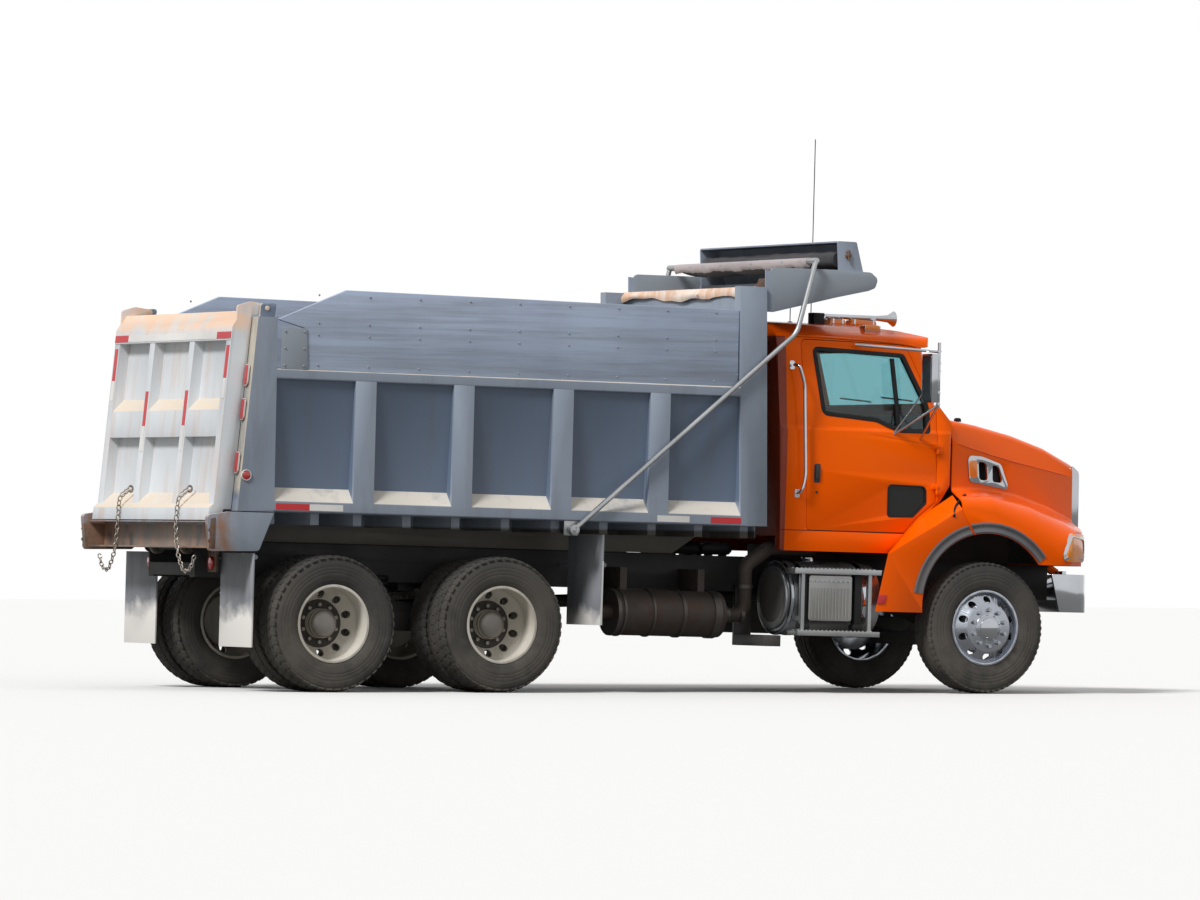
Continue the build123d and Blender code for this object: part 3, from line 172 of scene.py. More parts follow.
def finishOf(name, colour, other=None, rough=0.5, metal=0.0, coat=0.0, patch=1.2, grime=None,
             grimeAt=(0.5, 0.75), streak=0.0, rust=None, rustAt=(0.62, 0.7), rustScale=7.0, dust=None,
             dustTop=1.0, dustMost=0.6, bump=0.0, bumpScale=60.0, roughSpread=0.12, spec=0.5, top=None,
             panelShade=None, grain=0.0, bumpStretch=None, tint=(1, 1, 1, 1), low=None, lowFrom=0.72, underShade=None,
             sillShade=None, rear=None, back=None, cap=None, below=None):
    material, tree, shader = startMaterial(name)
    coords = addNode(tree, "ShaderNodeTexCoord").outputs["Object"]
    place, facing = splitOf(tree, "Object"), splitOf(tree, "Normal")
    along, across, height = place["X"], mathOf(tree, "ABSOLUTE", place["Y"]), place["Z"]

    def cloud(scale, detail, rough, *ends, stretch=None):
        # Noise, taken from one value to another
        return rangeOf(tree, noiseOf(tree, coords, scale, detail, rough, stretch), *ends)

    def at(value, mark):
        return rangeOf(tree, value, *wearAndPaintedLightPlaces[mark])

    def lay(colour, mask, *more):
        # One more colour on the paint, where every mask is on
        nonlocal paint
        for other in more:
            mask = mathOf(tree, "MULTIPLY", mask, other)
        paint = mixColour(tree, mask, paint, tone(*colour))

    paint = mixColour(tree, cloud(patch, 5.0, 0.55, 0.35, 0.65), tone(*colour), tone(*(other or colour)))
    if panelShade:  # painted shade: the sheets between the posts lie back from their faces, and are painted darker and bluer where they lie in shade
        lay(panelShade, at(across, "panelDepth"), at(height, "panelFoot"), at(height, "panelHead"))
    if streak:
        lay(grime, cloud(2.6, 7.0, 0.6, *grimeAt, stretch=(3.0, 3.0, 0.35)), streak)
    if grain:
        lay(grime, cloud(5.0, 8.0, 0.7, 0.42, 0.62, stretch=(0.12, 1.0, 3.2)), grain)
    if top:  # lighter, beige-grey, on the faces that look up
        lay(top, rangeOf(tree, facing["Z"], 0.25, 0.6), cloud(4.0, 6.0, 0.7, 0.25, 0.5, 0.35, 1.0))
    if underShade:  # painted shade with grime: darker on the beams under the floor, and a lighter painted shade on the long sills further in
        lay(underShade, at(height, "beamTop"), at(across, "beamOut"))
        lay(sillShade, at(height, "beamTop"), at(across, "beamOut"), at(across, "sillOut"))
    if rear:  # rust that runs down over the rear beam
        lay(rear, cloud(5.0, 8.0, 0.68, 0.4, 0.6, stretch=(1.0, 1.0, 0.5)), at(along, "rearReach"),
            at(height, "rearTop"))
    if back:  # pale dust on the faces of the rear posts that look back
        lay(back, rangeOf(tree, facing["X"], -0.6, -0.8), at(height, "postFoot"), at(along, "postReach"),
            cloud(3.0, 7.0, 0.65, 0.35, 0.6, 0.25, 1.0, stretch=(2.0, 2.0, 0.5)))
    if below:  # painted shade and road grime: darker on the faces that look down
        lay(below, rangeOf(tree, facing["Z"], -0.75, -0.9))
    if cap:  # rust that comes through along the top edge
        lay(cap, at(height, "gateCap"), cloud(5.0, 8.0, 0.7, 0.36, 0.56, 0.1, 0.9))
    if low:  # painted light: the lower part whitish, as if sunlit below the shadow that the bed casts
        edge = mathOf(tree, "ADD", height, cloud(3.0, 5.0, 0.6, 0.3, 0.7, -0.07, 0.07))
        lay(low, rangeOf(tree, edge, lowFrom, lowFrom - wearAndPaintedLightPlaces["lowFade"]))
    if rust:
        lay(rust, cloud(rustScale, 9.0, 0.68, *rustAt))
    if dust:  # thickest near the ground
        lay(dust, rangeOf(tree, height, dustTop, wearAndPaintedLightPlaces["dustFoot"], 0.0, dustMost),
            cloud(3.5, 6.0, 0.65, 0.3, 0.6))
    scuff = cloud(4.0, 6.0, 0.65, 0.3, 0.7, rough - roughSpread / 2, rough + roughSpread)
    feed(tree, shader, (("Base Color", paint), ("Roughness", scuff), ("Metallic", metal),
                        ("Coat Weight", coat), ("Coat Roughness", 0.06), ("Specular IOR Level", spec),
                        ("Specular Tint", tint)))
    if bump:
        bumper = addNode(tree, "ShaderNodeBump")
        feed(tree, bumper, (("Strength", bump), ("Distance", 0.004),
                            ("Height", noiseOf(tree, coords, bumpScale, 5.0, 0.6, bumpStretch))))
        tree.links.new(bumper.outputs["Normal"], shader.inputs["Normal"])
    return material


# Finishes, their colours as display values
rustBrown = (122, 72, 42)
roadDust = (168, 158, 144)
finishes = {
    # bed paint; panelShade is painted shade on the recessed sheets between the posts
    "bedGrey": finishOf("bed_grey_paint", (136, 146, 160), (126, 136, 151), rough=0.42, grime=(96, 92, 88),
                        streak=0.3, rust=rustBrown, rustAt=(0.74, 0.8), dust=roadDust, dustTop=1.5,
                        # underShade and sillShade: painted shade, with grime, below the bed floor
                        dustMost=0.3, top=(206, 200, 190), panelShade=(92, 106, 126), underShade=(60, 58, 54),
                        sillShade=(92, 89, 82), rear=(132, 98, 78), back=(182, 174, 158), bump=0.12,
                        bumpScale=18),
    "bedLight": finishOf("bed_grey_plate", (142, 149, 158), (134, 141, 151), rough=0.45, rust=rustBrown,
                         rustAt=(0.7, 0.76), bump=0.1),
    # painted light: the bed's grey paint made much lighter, as where the sun falls on the tailgate; its rust
    # streaks and cap rust are real
    "gateGreyPaintedLight": finishOf("tailgate_paint_painted_light", (209, 213, 216), (196, 200, 204), rough=0.5,
                         grime=(196, 148, 112), streak=0.42, grimeAt=(0.5, 0.74), rust=rustBrown,
                         rustAt=(0.7, 0.76), top=(212, 198, 180), cap=(228, 190, 160), bump=0.12,
                         bumpScale=18),
    # below: painted shade and road grime on the faces of the orange parts that look down
    "orange": finishOf("orange_enamel", (255, 98, 0), (252, 92, 0), rough=0.22, coat=0.06, patch=0.6,
                       tint=(1.0, 0.36, 0.06, 1), below=(40, 26, 22), roughSpread=0.05, dust=(186, 116, 66),
                       dustTop=1.15, dustMost=0.2),
    # painted shade: the cab's back wall darkened as if in the shadow of the bed
    "orangePaintedShade": finishOf("orange_enamel_painted_shade", (150, 50, 9), (118, 38, 9), rough=0.45, patch=0.8),
    "frameBlack": finishOf("frame_black", (22, 22, 24), (34, 33, 33), rough=0.6, dust=(88, 80, 72),
                           dustTop=1.0, dustMost=0.4, bump=0.2, bumpScale=30),
    "exhaustBrown": finishOf("silencer_rust", (72, 64, 59), (54, 47, 43), rough=0.65, metal=0.3,
                             rust=(64, 44, 33), rustAt=(0.5, 0.66), bump=0.3, bumpScale=40),
    "alloy": finishOf("brushed_alloy", (178, 180, 182), (150, 152, 154), rough=0.34, metal=0.9,
                      dust=roadDust, dustTop=0.9, dustMost=0.3, bump=0.05, bumpScale=90),
    "brushed": finishOf("brushed_plate", (172, 172, 170), (150, 150, 148), rough=0.4, metal=0.8,
                        dust=roadDust, dustTop=0.9, dustMost=0.3, bump=0.05, bumpScale=120),
    "polished": finishOf("polished_alloy", (184, 188, 196), (160, 165, 174), rough=0.2, metal=1.0,
                         roughSpread=0.05),
    "chrome": finishOf("chrome_plate", (196, 199, 205), (176, 178, 182), rough=0.1, metal=1.0,
                       roughSpread=0.04),
    "trimGrey": finishOf("arch_trim_grey", (112, 110, 112), (84, 83, 86), rough=0.3, metal=0.7,
                         dust=roadDust, dustTop=1.2, dustMost=0.3),
    "wheelWhite": finishOf("wheel_white", (206, 202, 192), (186, 180, 168), rough=0.5, grime=(92, 84, 76),
                           streak=0.4, dust=roadDust, dustTop=1.0, dustMost=0.5, rust=rustBrown,
                           rustAt=(0.68, 0.74), rustScale=12),
    "hubGrey": finishOf("hub_grey", (150, 146, 142), (112, 106, 100), rough=0.45, metal=0.6, bump=0.1),
    "hubDark": finishOf("hub_ring_dark", (62, 58, 52), (48, 46, 42), rough=0.7, bump=0.15),
    "tyre": finishOf("tyre_rubber", (50, 49, 49), (68, 65, 62), rough=0.78, dust=(120, 113, 103),
                     dustTop=1.3, dustMost=0.4, bump=0.2, bumpScale=80, spec=0.3),
    "tread": finishOf("tread_rubber", (48, 47, 47), (64, 62, 59), rough=0.85, dust=(120, 113, 103),
                      dustTop=1.3, dustMost=0.4, spec=0.25),
    # low: painted light, the flap's lower part whitish as if sunlit below the bed's shadow
    "flap": finishOf("flap_rubber", (152, 155, 160), (124, 126, 131), rough=0.8, grime=(92, 92, 95),
                     streak=0.5, low=(226, 222, 217), lowFrom=0.66, spec=0.3, bump=0.1),
    "boxBlack": finishOf("box_black", (38, 38, 40), (50, 49, 48), rough=0.5, dust=(110, 102, 94),
                         dustTop=0.9, dustMost=0.4),
    "castGrey": finishOf("cast_grey", (62, 60, 58), (78, 74, 70), rough=0.75, bump=0.3),
    "wood": finishOf("board_wood", (168, 182, 204), (156, 168, 190), rough=0.75, grime=(128, 132, 142),
                     grain=0.55, bump=0.3, bumpScale=14, bumpStretch=(0.08, 1, 1.6)),
    "tarp": finishOf("tarp_black", (44, 43, 47), (58, 56, 60), rough=0.6, bump=0.3, bumpScale=200),
    "trim": finishOf("cab_trim", (44, 44, 47), (52, 52, 54), rough=0.6, bump=0.15, bumpScale=250),
    "cloth": finishOf("seat_cloth", (58, 60, 66), (50, 52, 58), rough=0.9, bump=0.4, bumpScale=300),
    "sleeve": finishOf("tarp_sleeve", (178, 168, 168), (150, 140, 142), rough=0.85, bump=0.3, bumpScale=120),
    "chainSteel": finishOf("chain_steel", (186, 180, 170), (130, 118, 106), rough=0.4, metal=0.6,
                           rust=(120, 84, 60), rustAt=(0.55, 0.68), rustScale=30),
    "lipRust": finishOf("lip_plate", (232, 220, 210), (214, 186, 160), rough=0.7, grime=(206, 150, 110),
                        grimeAt=(0.45, 0.6), streak=0.6, rust=rustBrown, rustAt=(0.62, 0.7), bump=0.3,
                        bumpScale=20),
    "rubber": finishOf("seal_rubber", (20, 20, 21), (28, 28, 29), rough=0.6, spec=0.3),
    "steel": finishOf("oily_steel", (96, 92, 88), (70, 66, 62), rough=0.45, metal=0.7),
    "rustySteel": finishOf("rusty_steel", (112, 100, 92), (84, 72, 64), rough=0.6, metal=0.5,
                           rust=(110, 70, 44), rustAt=(0.45, 0.6), rustScale=20),
    "redLens": finishOf("red_lens", (188, 22, 24), (170, 16, 20), rough=0.15, coat=1.0, roughSpread=0.03),
    "amberLens": finishOf("amber_lens", (255, 152, 14), (250, 136, 8), rough=0.15, coat=0.5,
                          roughSpread=0.03, bump=0.2, bumpScale=60),
    "redTape": finishOf("tape_red", (196, 44, 48), (182, 50, 56), rough=0.4, bump=0.1, bumpScale=200),
    "whiteTape": finishOf("tape_white", (222, 220, 216), (204, 202, 198), rough=0.4, bump=0.1,
                          bumpScale=200),
    "whitePaint": finishOf("white_paint", (214, 212, 208), (196, 194, 190), rough=0.5, bump=0.1),
    "darkGlass": finishOf("porthole_glass", (22, 25, 25), (30, 33, 33), rough=0.06, coat=0.3,
                          roughSpread=0.02),
}


def glassFinish():
    material, tree, shader = startMaterial("window_glass")
    coords = addNode(tree, "ShaderNodeTexCoord").outputs["Object"]
    film = rangeOf(tree, noiseOf(tree, coords, 2.0, 4.0), 0.4, 0.7, 0.01, 0.05)
    feed(tree, shader, (("Base Color", tone(170, 212, 216)), ("Roughness", film),
                        ("Transmission Weight", 1.0), ("IOR", 1.45)))
    return material


finishes["glass"] = glassFinish()
print("finishes:", len(finishes))


# Pieces: each rides on a body and takes one finish

def linked(name, data):
    thing = bpy.data.objects.new(name, data)
    bpy.context.scene.collection.objects.link(thing)
    return thing


def asPiece(name, mesh, body, finish, nodes=()):
    piece = linked(name, mesh)
    piece.data.materials.clear()
    piece.data.materials.append(finishes[finish])
    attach(piece, body)
    if nodes:
        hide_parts(*nodes)
    return piece


def applied(piece):
    # The evaluated mesh with every modifier in it, as one plain mesh
    graph = bpy.context.evaluated_depsgraph_get()
    mesh = bpy.data.meshes.new_from_object(piece.evaluated_get(graph))
    piece.modifiers.clear()
    old = piece.data
    piece.data = mesh
    bpy.data.meshes.remove(old)


def smoothed(mesh, degrees=35):
    mesh.polygons.foreach_set("use_smooth", [True] * len(mesh.polygons))
    mesh.set_sharp_from_angle(angle=math.radians(degrees))


sharpFrom = 32  # degrees between faces, from which an edge is rounded


def bevelled(piece, width):
    bevel = piece.modifiers.new("edges", "BEVEL")
    bevel.width, bevel.segments = width, 2
    bevel.limit_method, bevel.angle_limit = "ANGLE", math.radians(sharpFrom)
    applied(piece)


def thickened(piece, thickness, degrees):
    thick = piece.modifiers.new("thick", "SOLIDIFY")
    thick.thickness = thickness
    applied(piece)
    smoothed(piece.data, degrees)


bodyOf = {node: body for body, nodes in frame["record"]["behaviour"]["bodies"].items() for node in nodes}


def softened(node, finish, edge=0.004, leaveOut=None):
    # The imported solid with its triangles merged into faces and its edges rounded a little
    work = bmesh.new()
    work.from_mesh(frame["nodes"][node].data)
    bmesh.ops.remove_doubles(work, verts=work.verts, dist=0.00002)
    if leaveOut:
        gone = [face for face in work.faces if all(leaveOut(vert.co) for vert in face.verts)]
        bmesh.ops.delete(work, geom=gone, context="FACES")
    bmesh.ops.dissolve_limit(work, angle_limit=math.radians(0.5), verts=work.verts, edges=work.edges)
    mesh = bpy.data.meshes.new(node + "_mesh")
    work.to_mesh(mesh)
    work.free()
    piece = asPiece(node + "_skin", mesh, bodyOf[node], finish, (node,))
    if edge:
        bevelled(piece, edge)
    smoothed(piece.data)


nodeFinishes = {
    "frameBlack": ("frame_rails", "crossmembers", "front_axle", "drive_axles", "knuckle_left",
                   "knuckle_right"),
    "castGrey": ("engine",),
    "exhaustBrown": ("exhaust",),
    "alloy": ("fuel_tank", "tarp_arms", "arm_pins"),
    "boxBlack": ("battery_box",),
    "chrome": ("bumper", "vents", "mirror_left", "mirror_right", "grille", "roof_fittings"),
    "flap": ("mud_flaps",),
    "orangePaintedShade": ("cab_back",),
    "orange": ("cab_floor", "cab_roof", "cab_side_left", "cab_side_right", "cab_front", "door_left",
               "door_right", "hood", "quarter_fenders"),
    "glass": ("cab_glass", "door_glass_left", "door_glass_right"),
    "trim": ("dashboard", "antennas"),
    "amberLens": ("headlamps",),
    "redLens": ("bed_lamps",),
    "bedGrey": ("bed_floor", "bed_side_left", "bed_side_right", "bed_front", "cab_guard"),
    "wood": ("side_boards",),
    "steel": ("hoist_barrel", "hoist_rod"),
    "wheelWhite": tuple(node for node in frame["nodes"] if node.startswith("wheels_rear")),
    "polished": ("wheel_front_left", "wheel_front_right"),
}
for finish, nodes in nodeFinishes.items():
    for node in nodes:
        softened(node, finish, 0.0 if finish == "glass" else 0.004)
print("solids dressed:", sum(len(nodes) for nodes in nodeFinishes.values()))


# Shapes built in mesh code

def rounded(corners, steps=5):
    # A closed outline of (a, b) or (a, b, radius) corners, the radius as short runs
    out = []
    for index, corner in enumerate(corners):
        here = Vector(corner[:2])
        if len(corner) < 3 or not corner[2]:
            out.append(tuple(here))
            continue
        before = Vector(corners[index - 1][:2]) - here
        after = Vector(corners[(index + 1) % len(corners)][:2]) - here
        half = before.angle(after) / 2
        reach = min(corner[2] / math.tan(half), 0.48 * before.length, 0.48 * after.length)
        radius = reach * math.tan(half)
        centre = here + (before.normalized() + after.normalized()).normalized() * (radius / math.sin(half))
        first = here + before.normalized() * reach - centre
        last = here + after.normalized() * reach - centre
        start = math.atan2(first.y, first.x)
        sweep = (math.atan2(last.y, last.x) - start + math.pi) % (2 * math.pi) - math.pi
        for step in range(steps + 1):
            angle = start + sweep * step / steps
            out.append((centre.x + radius * math.cos(angle), centre.y + radius * math.sin(angle)))
    return out


def addSlab(work, outline, near, far):
    # An outline made solid between two placings of it
    first = [work.verts.new(near(a, b)) for a, b in outline]
    second = [work.verts.new(far(a, b)) for a, b in outline]
    work.faces.new(first)
    work.faces.new(second[::-1])
    for index in range(len(first)):
        work.faces.new((first[index - 1], first[index], second[index], second[index - 1]))


def roundBox(a0, a1, b0, b1, radius, steps=5):
    return rounded([(a0, b0, radius), (a1, b0, radius), (a1, b1, radius), (a0, b1, radius)], steps)


def joinRings(work, rings):
    for ring, after in zip(rings, rings[1:]):
        for index in range(len(ring)):
            work.faces.new((ring[index - 1], ring[index], after[index], after[index - 1]))


def addLoft(work, rings):
    # Rings of the same count joined in turn, with both ends closed
    joinRings(work, rings)
    work.faces.new(rings[0])
    work.faces.new(rings[-1][::-1])


def addBand(work, outer, inner, near, far):
    # A ring between two outlines of the same count, made solid between two placings
    rings = [[work.verts.new(place(a, b)) for a, b in outline]
             for outline, place in ((outer, near), (outer, far), (inner, far), (inner, near))]
    joinRings(work, rings + rings[:1])


def addBox(work, x0, x1, y0, y1, z0, z1):
    addSlab(work, ((x0, z0), (x1, z0), (x1, z1), (x0, z1)), sideAt(y0), sideAt(y1))


def addLine(work, line, below, above, near, far):
    # A thin raised line along points of (x, z)
    for (x0, z0), (x1, z1) in zip(line, line[1:]):
        addSlab(work, [(x0, z0 - below), (x1, z1 - below), (x1, z1 + above), (x0, z0 + above)], near, far)


def addTube(work, points, radius, around=12, closed=False):
    # A round tube along points, square to the path at each
    points = [Vector(point) for point in points]
    count = len(points)
    rings = []
    up = None
    for index, point in enumerate(points):
        before = points[index - 1] if index or closed else point
        after = points[(index + 1) % count] if index < count - 1 or closed else point
        along = (after - before).normalized()
        if up is None:
            up = along.orthogonal().normalized()
        up = (up - along * up.dot(along)).normalized()
        side = along.cross(up)
        rings.append([work.verts.new(point + (up * math.cos(turn) + side * math.sin(turn)) * radius)
                      for turn in (2 * math.pi * step / around for step in range(around))])
    joinRings(work, rings + rings[:1] if closed else rings)
    if not closed:
        work.faces.new(rings[0][::-1])
        work.faces.new(rings[-1])


def bent(points, radius, steps=6):
    # A path with its corners rounded, in space
    points = [Vector(point) for point in points]
    out = [points[0]]
    for before, here, after in zip(points, points[1:], points[2:]):
        first, last = before - here, after - here
        reach = min(radius, 0.45 * first.length, 0.45 * last.length)
        start, end = here + first.normalized() * reach, here + last.normalized() * reach
        for step in range(steps + 1):
            t = step / steps
            out.append(start * (1 - t) ** 2 + here * 2 * t * (1 - t) + end * t * t)
    return out + [points[-1]]


def addTurned(work, profile, centre, axis, around=64, closed=True):
    # A profile of (along, radius) turned about an axis; the ends close at the axis where their radius is 0
    axis = Vector(axis).normalized()
    first = axis.orthogonal().normalized()
    second = axis.cross(first)
    rings = []
    for along, radius in profile:
        base = Vector(centre) + axis * along
        if radius == 0:
            rings.append([work.verts.new(base)])
            continue
        rings.append([work.verts.new(base + (first * math.cos(turn) + second * math.sin(turn)) * radius)
                      for turn in (2 * math.pi * step / around for step in range(around))])
    for ring, following in zip(rings, rings[1:] + (rings[:1] if closed else [])):
        for step in range(around):
            corners = [ring[step - 1], ring[step]] if len(ring) > 1 else [ring[0]]
            corners += [following[step], following[step - 1]] if len(following) > 1 else [following[0]]
            if len(corners) > 2:
                work.faces.new(corners)


def pieceOf(name, work, body, finish, edge=0.0, degrees=35, nodes=()):
    # A piece from mesh code; the nodes given are hidden
    bmesh.ops.recalc_face_normals(work, faces=work.faces)
    mesh = bpy.data.meshes.new(name + "_mesh")
    work.to_mesh(mesh)
    work.free()
    piece = asPiece(name, mesh, body, finish, nodes)
    if edge:
        bevelled(piece, edge)
    smoothed(piece.data, degrees)
    return piece


def slabPiece(name, outline, near, far, body, finish, edge=0.0):
    work = bmesh.new()
    addSlab(work, outline, near, far)
    pieceOf(name, work, body, finish, edge)


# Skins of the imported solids, to lay trim on them
skins = {}


def skinOf(node):
    if node not in skins:
        data = frame["nodes"][node].data
        skins[node] = BVHTree.FromPolygons([v.co for v in data.vertices],
                                           [p.vertices for p in data.polygons])
    return skins[node]


def onSkin(nodes, side, x, z, proud=0.0):
    # The outermost point of these solids at (x, z), seen from one side, and a little proud of it
    hits = [skinOf(node).ray_cast(level(x, side * 1600, z), Vector((0, -side, 0))) for node in nodes]
    hits = [hit for hit in hits if hit[0] is not None]
    if not hits:
        raise ValueError("nothing of " + str(nodes) + " at " + str((x, z)))
    best = min(hits, key=lambda hit: hit[3])
    normal = best[1] if best[1].y * side > 0 else -best[1]
    return best[0] + normal * (proud / 1000)


# Small repeated things: one tree for each kind, its things on points that carry a turn
coneShapes = {"nut": (6, 0.82), "stud": (10, 0.6)}  # sides, and the top's share of the foot


def scatterTree(kind):
    tree = bpy.data.node_groups.new(kind + "_scatter", "GeometryNodeTree")
    sockets = {}
    tree.interface.new_socket("Places", in_out="INPUT", socket_type="NodeSocketGeometry")
    for label, form in (("Width", "NodeSocketFloat"), ("Depth", "NodeSocketFloat"),
                        ("Height", "NodeSocketFloat"), ("Finish", "NodeSocketMaterial")):
        sockets[label] = tree.interface.new_socket(label, in_out="INPUT", socket_type=form).identifier
    tree.interface.new_socket("Mesh", in_out="OUTPUT", socket_type="NodeSocketGeometry")
    entry, leave = addNode(tree, "NodeGroupInput"), addNode(tree, "NodeGroupOutput")
    link = tree.links.new
    if kind in coneShapes:
        shape = addNode(tree, "GeometryNodeMeshCone")
        shape.inputs["Vertices"].default_value = coneShapes[kind][0]
        shape.inputs["Fill Segments"].default_value = 1
        link(entry.outputs["Width"], shape.inputs["Radius Bottom"])
        link(mathOf(tree, "MULTIPLY", entry.outputs["Width"], coneShapes[kind][1]),
             shape.inputs["Radius Top"])
        link(entry.outputs["Height"], shape.inputs["Depth"])
    elif kind == "block":
        shape = addNode(tree, "GeometryNodeMeshCube")
        size = addNode(tree, "ShaderNodeCombineXYZ")
        for label, axis in (("Width", "X"), ("Depth", "Y"), ("Height", "Z")):
            link(entry.outputs[label], size.inputs[axis])
        link(size.outputs["Vector"], shape.inputs["Size"])
    else:  # a chain link: a round wire on a long ring
        ring = addNode(tree, "GeometryNodeCurvePrimitiveCircle")
        ring.inputs["Resolution"].default_value = 14
        link(entry.outputs["Width"], ring.inputs["Radius"])
        longer = addNode(tree, "GeometryNodeTransform")
        longer.inputs["Scale"].default_value = (1.45, 1, 1)
        link(ring.outputs["Curve"], longer.inputs["Geometry"])
        wire = addNode(tree, "GeometryNodeCurvePrimitiveCircle")
        wire.inputs["Resolution"].default_value = 7
        link(entry.outputs["Height"], wire.inputs["Radius"])
        shape = addNode(tree, "GeometryNodeCurveToMesh")
        link(longer.outputs["Geometry"], shape.inputs["Curve"])
        link(wire.outputs["Curve"], shape.inputs["Profile Curve"])
    turn = addNode(tree, "GeometryNodeInputNamedAttribute", data_type="FLOAT_VECTOR")
    turn.inputs["Name"].default_value = "turn"
    spread = addNode(tree, "GeometryNodeInstanceOnPoints")
    link(entry.outputs["Places"], spread.inputs["Points"])
    link(shape.outputs[0], spread.inputs["Instance"])
    link(turn.outputs["Attribute"], spread.inputs["Rotation"])
    real = addNode(tree, "GeometryNodeRealizeInstances")
    link(spread.outputs["Instances"], real.inputs["Geometry"])
    paint = addNode(tree, "GeometryNodeSetMaterial")
    link(real.outputs["Geometry"], paint.inputs["Geometry"])
    link(entry.outputs["Finish"], paint.inputs["Material"])
    link(paint.outputs["Geometry"], leave.inputs["Mesh"])
    return tree, sockets


trees = {kind: scatterTree(kind) for kind in ("nut", "stud", "block", "chain")}


def scattered(name, kind, places, body, finish, width, height, depth=0.0):
    # places: (point, the way its height points, the way its width points)
    mesh = bpy.data.meshes.new(name + "_places")
    mesh.from_pydata([place[0] for place in places], [], [])
    turns = mesh.attributes.new("turn", "FLOAT_VECTOR", "POINT")
    for index, (point, up, along) in enumerate(places):
        up = Vector(up).normalized()
        along = Vector(along)
        along = (along - up * along.dot(up)).normalized()
        basis = Matrix((along, up.cross(along), up)).transposed()
        turns.data[index].vector = basis.to_euler()
    piece = linked(name, mesh)
    tree, sockets = trees[kind]
    spread = piece.modifiers.new("spread", "NODES")
    spread.node_group = tree
    for label, size in (("Width", width), ("Depth", depth), ("Height", height)):
        spread[sockets[label]] = size / 1000
    spread[sockets["Finish"]] = finishes[finish]
    applied(piece)
    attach(piece, body)
    smoothed(piece.data, 40)


# Tyres: a ringed side, grooved tread and blocks in rows of (place across, share of a block round)
wheelPlaces = {
    "radius": 520, "frontX": 4983, "frontY": 1015, "frontFace": 1180, "rearXs": ((1, 711), (2, -711)),
    "twinYs": (730, 1060), "rearFace": 901,
}
tyreShape = {
    "blockProud": 9, "around": 96, "shoulder": 100, "shoulderDrop": 15, "middleDrop": 6.5, "tilt": 0.32,
    "rows": ((-108, 0), (108, 0.5), (-40, 0.25), (40, 0.75), (0, 0.5)), "blockTall": 11,
    "lugged": {"count": 46, "wide": 57, "long": 40}, "fine": {"count": 62, "wide": 43, "long": 26},
}


def tyreProfile():
    # (across from the tyre's middle, radius), from one bead to the other
    top = wheelPlaces["radius"] - tyreShape["blockProud"]
    right = [(106, 299), (112, 300), (116, 306), (119, 312), (121, 312), (124, 322), (127, 324), (128, 332),
           (131, 334), (132, 344), (134, 350), (136, 366), (137.5, 380), (136, 384), (137.5, 388),
           (137.6, 404), (136.4, 408), (137.4, 412), (137, 430), (135, 436), (136, 440), (134, 456),
           (131, 470), (128, 480), (125, 482), (123, 493), (119, 503), (111, top - 2), (96, top)]
    tread = [(70, top), (66, top - 10), (58, top - 10), (54, top + 4), (26, top + 6), (22, top - 8),
             (14, top - 8), (10, top + 7)]
    right += tread
    return right + [(-a, r) for a, r in right[::-1]] + [(-106, 292), (106, 292)]


def dressTyre(node, x, ys, kind):
    work, places, blocks = bmesh.new(), [], tyreShape[kind]
    for y in ys:
        centre = ground(x, y, wheelPlaces["radius"])
        profile = [(a / 1000, r / 1000) for a, r in tyreProfile()]
        addTurned(work, profile, centre, (0, 1, 0), tyreShape["around"])
        for index in range(blocks["count"]):
            for across, shift in tyreShape["rows"]:
                outer = abs(across) > tyreShape["shoulder"]
                if kind == "fine" and not outer:
                    continue
                turn = 2 * math.pi * (index + shift) / blocks["count"]
                out = Vector((math.cos(turn), 0, math.sin(turn)))
                reach = wheelPlaces["radius"] - tyreShape["shoulderDrop" if outer else "middleDrop"]
                tilt = Vector((0, math.copysign(tyreShape["tilt"], across) if outer else 0, 0))
                point = centre + out * (reach / 1000) + Vector((0, across / 1000, 0))
                places.append((point, out + tilt, (0, 1, 0)))
    pieceOf(node + "_rubber", work, bodyOf[node], "tyre", nodes=(node,), degrees=28)
    scattered(node + "_lugs", "block", places, bodyOf[node], "tread", blocks["wide"],
              tyreShape["blockTall"], blocks["long"])


for name, side in sides:
    dressTyre("tyre_front_" + name, wheelPlaces["frontX"], (side * wheelPlaces["frontY"],), "fine")
    for number, x in wheelPlaces["rearXs"]:
        dressTyre("tyres_rear_%d_%s" % (number, name), x, [side * y for y in wheelPlaces["twinYs"]],
                  "lugged")
print("tyres dressed")

# Wheel centres: nuts, the dark ring under them, and the domed hub caps; profiles are (along, radius)
wheelTrim = {
    "nuts": 10, "nutReach": 143, "nutWide": 19, "nutTall": 30,
    "frontCap": [(0.028, 0.0), (0.028, 0.052), (0.022, 0.062), (0.018, 0.078), (0.006, 0.084),
                 (0.004, 0.112), (-0.001, 0.114), (-0.001, 0.0)],
    "ring": [(0.0, 0.112), (0.001, 0.190), (0.006, 0.188), (0.009, 0.160), (0.007, 0.114)],
    "rearCap": [(0.06, 0.113), (0.078, 0.113), (0.084, 0.108), (0.102, 0.103), (0.116, 0.09), (0.124, 0.066),
                (0.1275, 0.03), (0.1285, 0.0)],
}


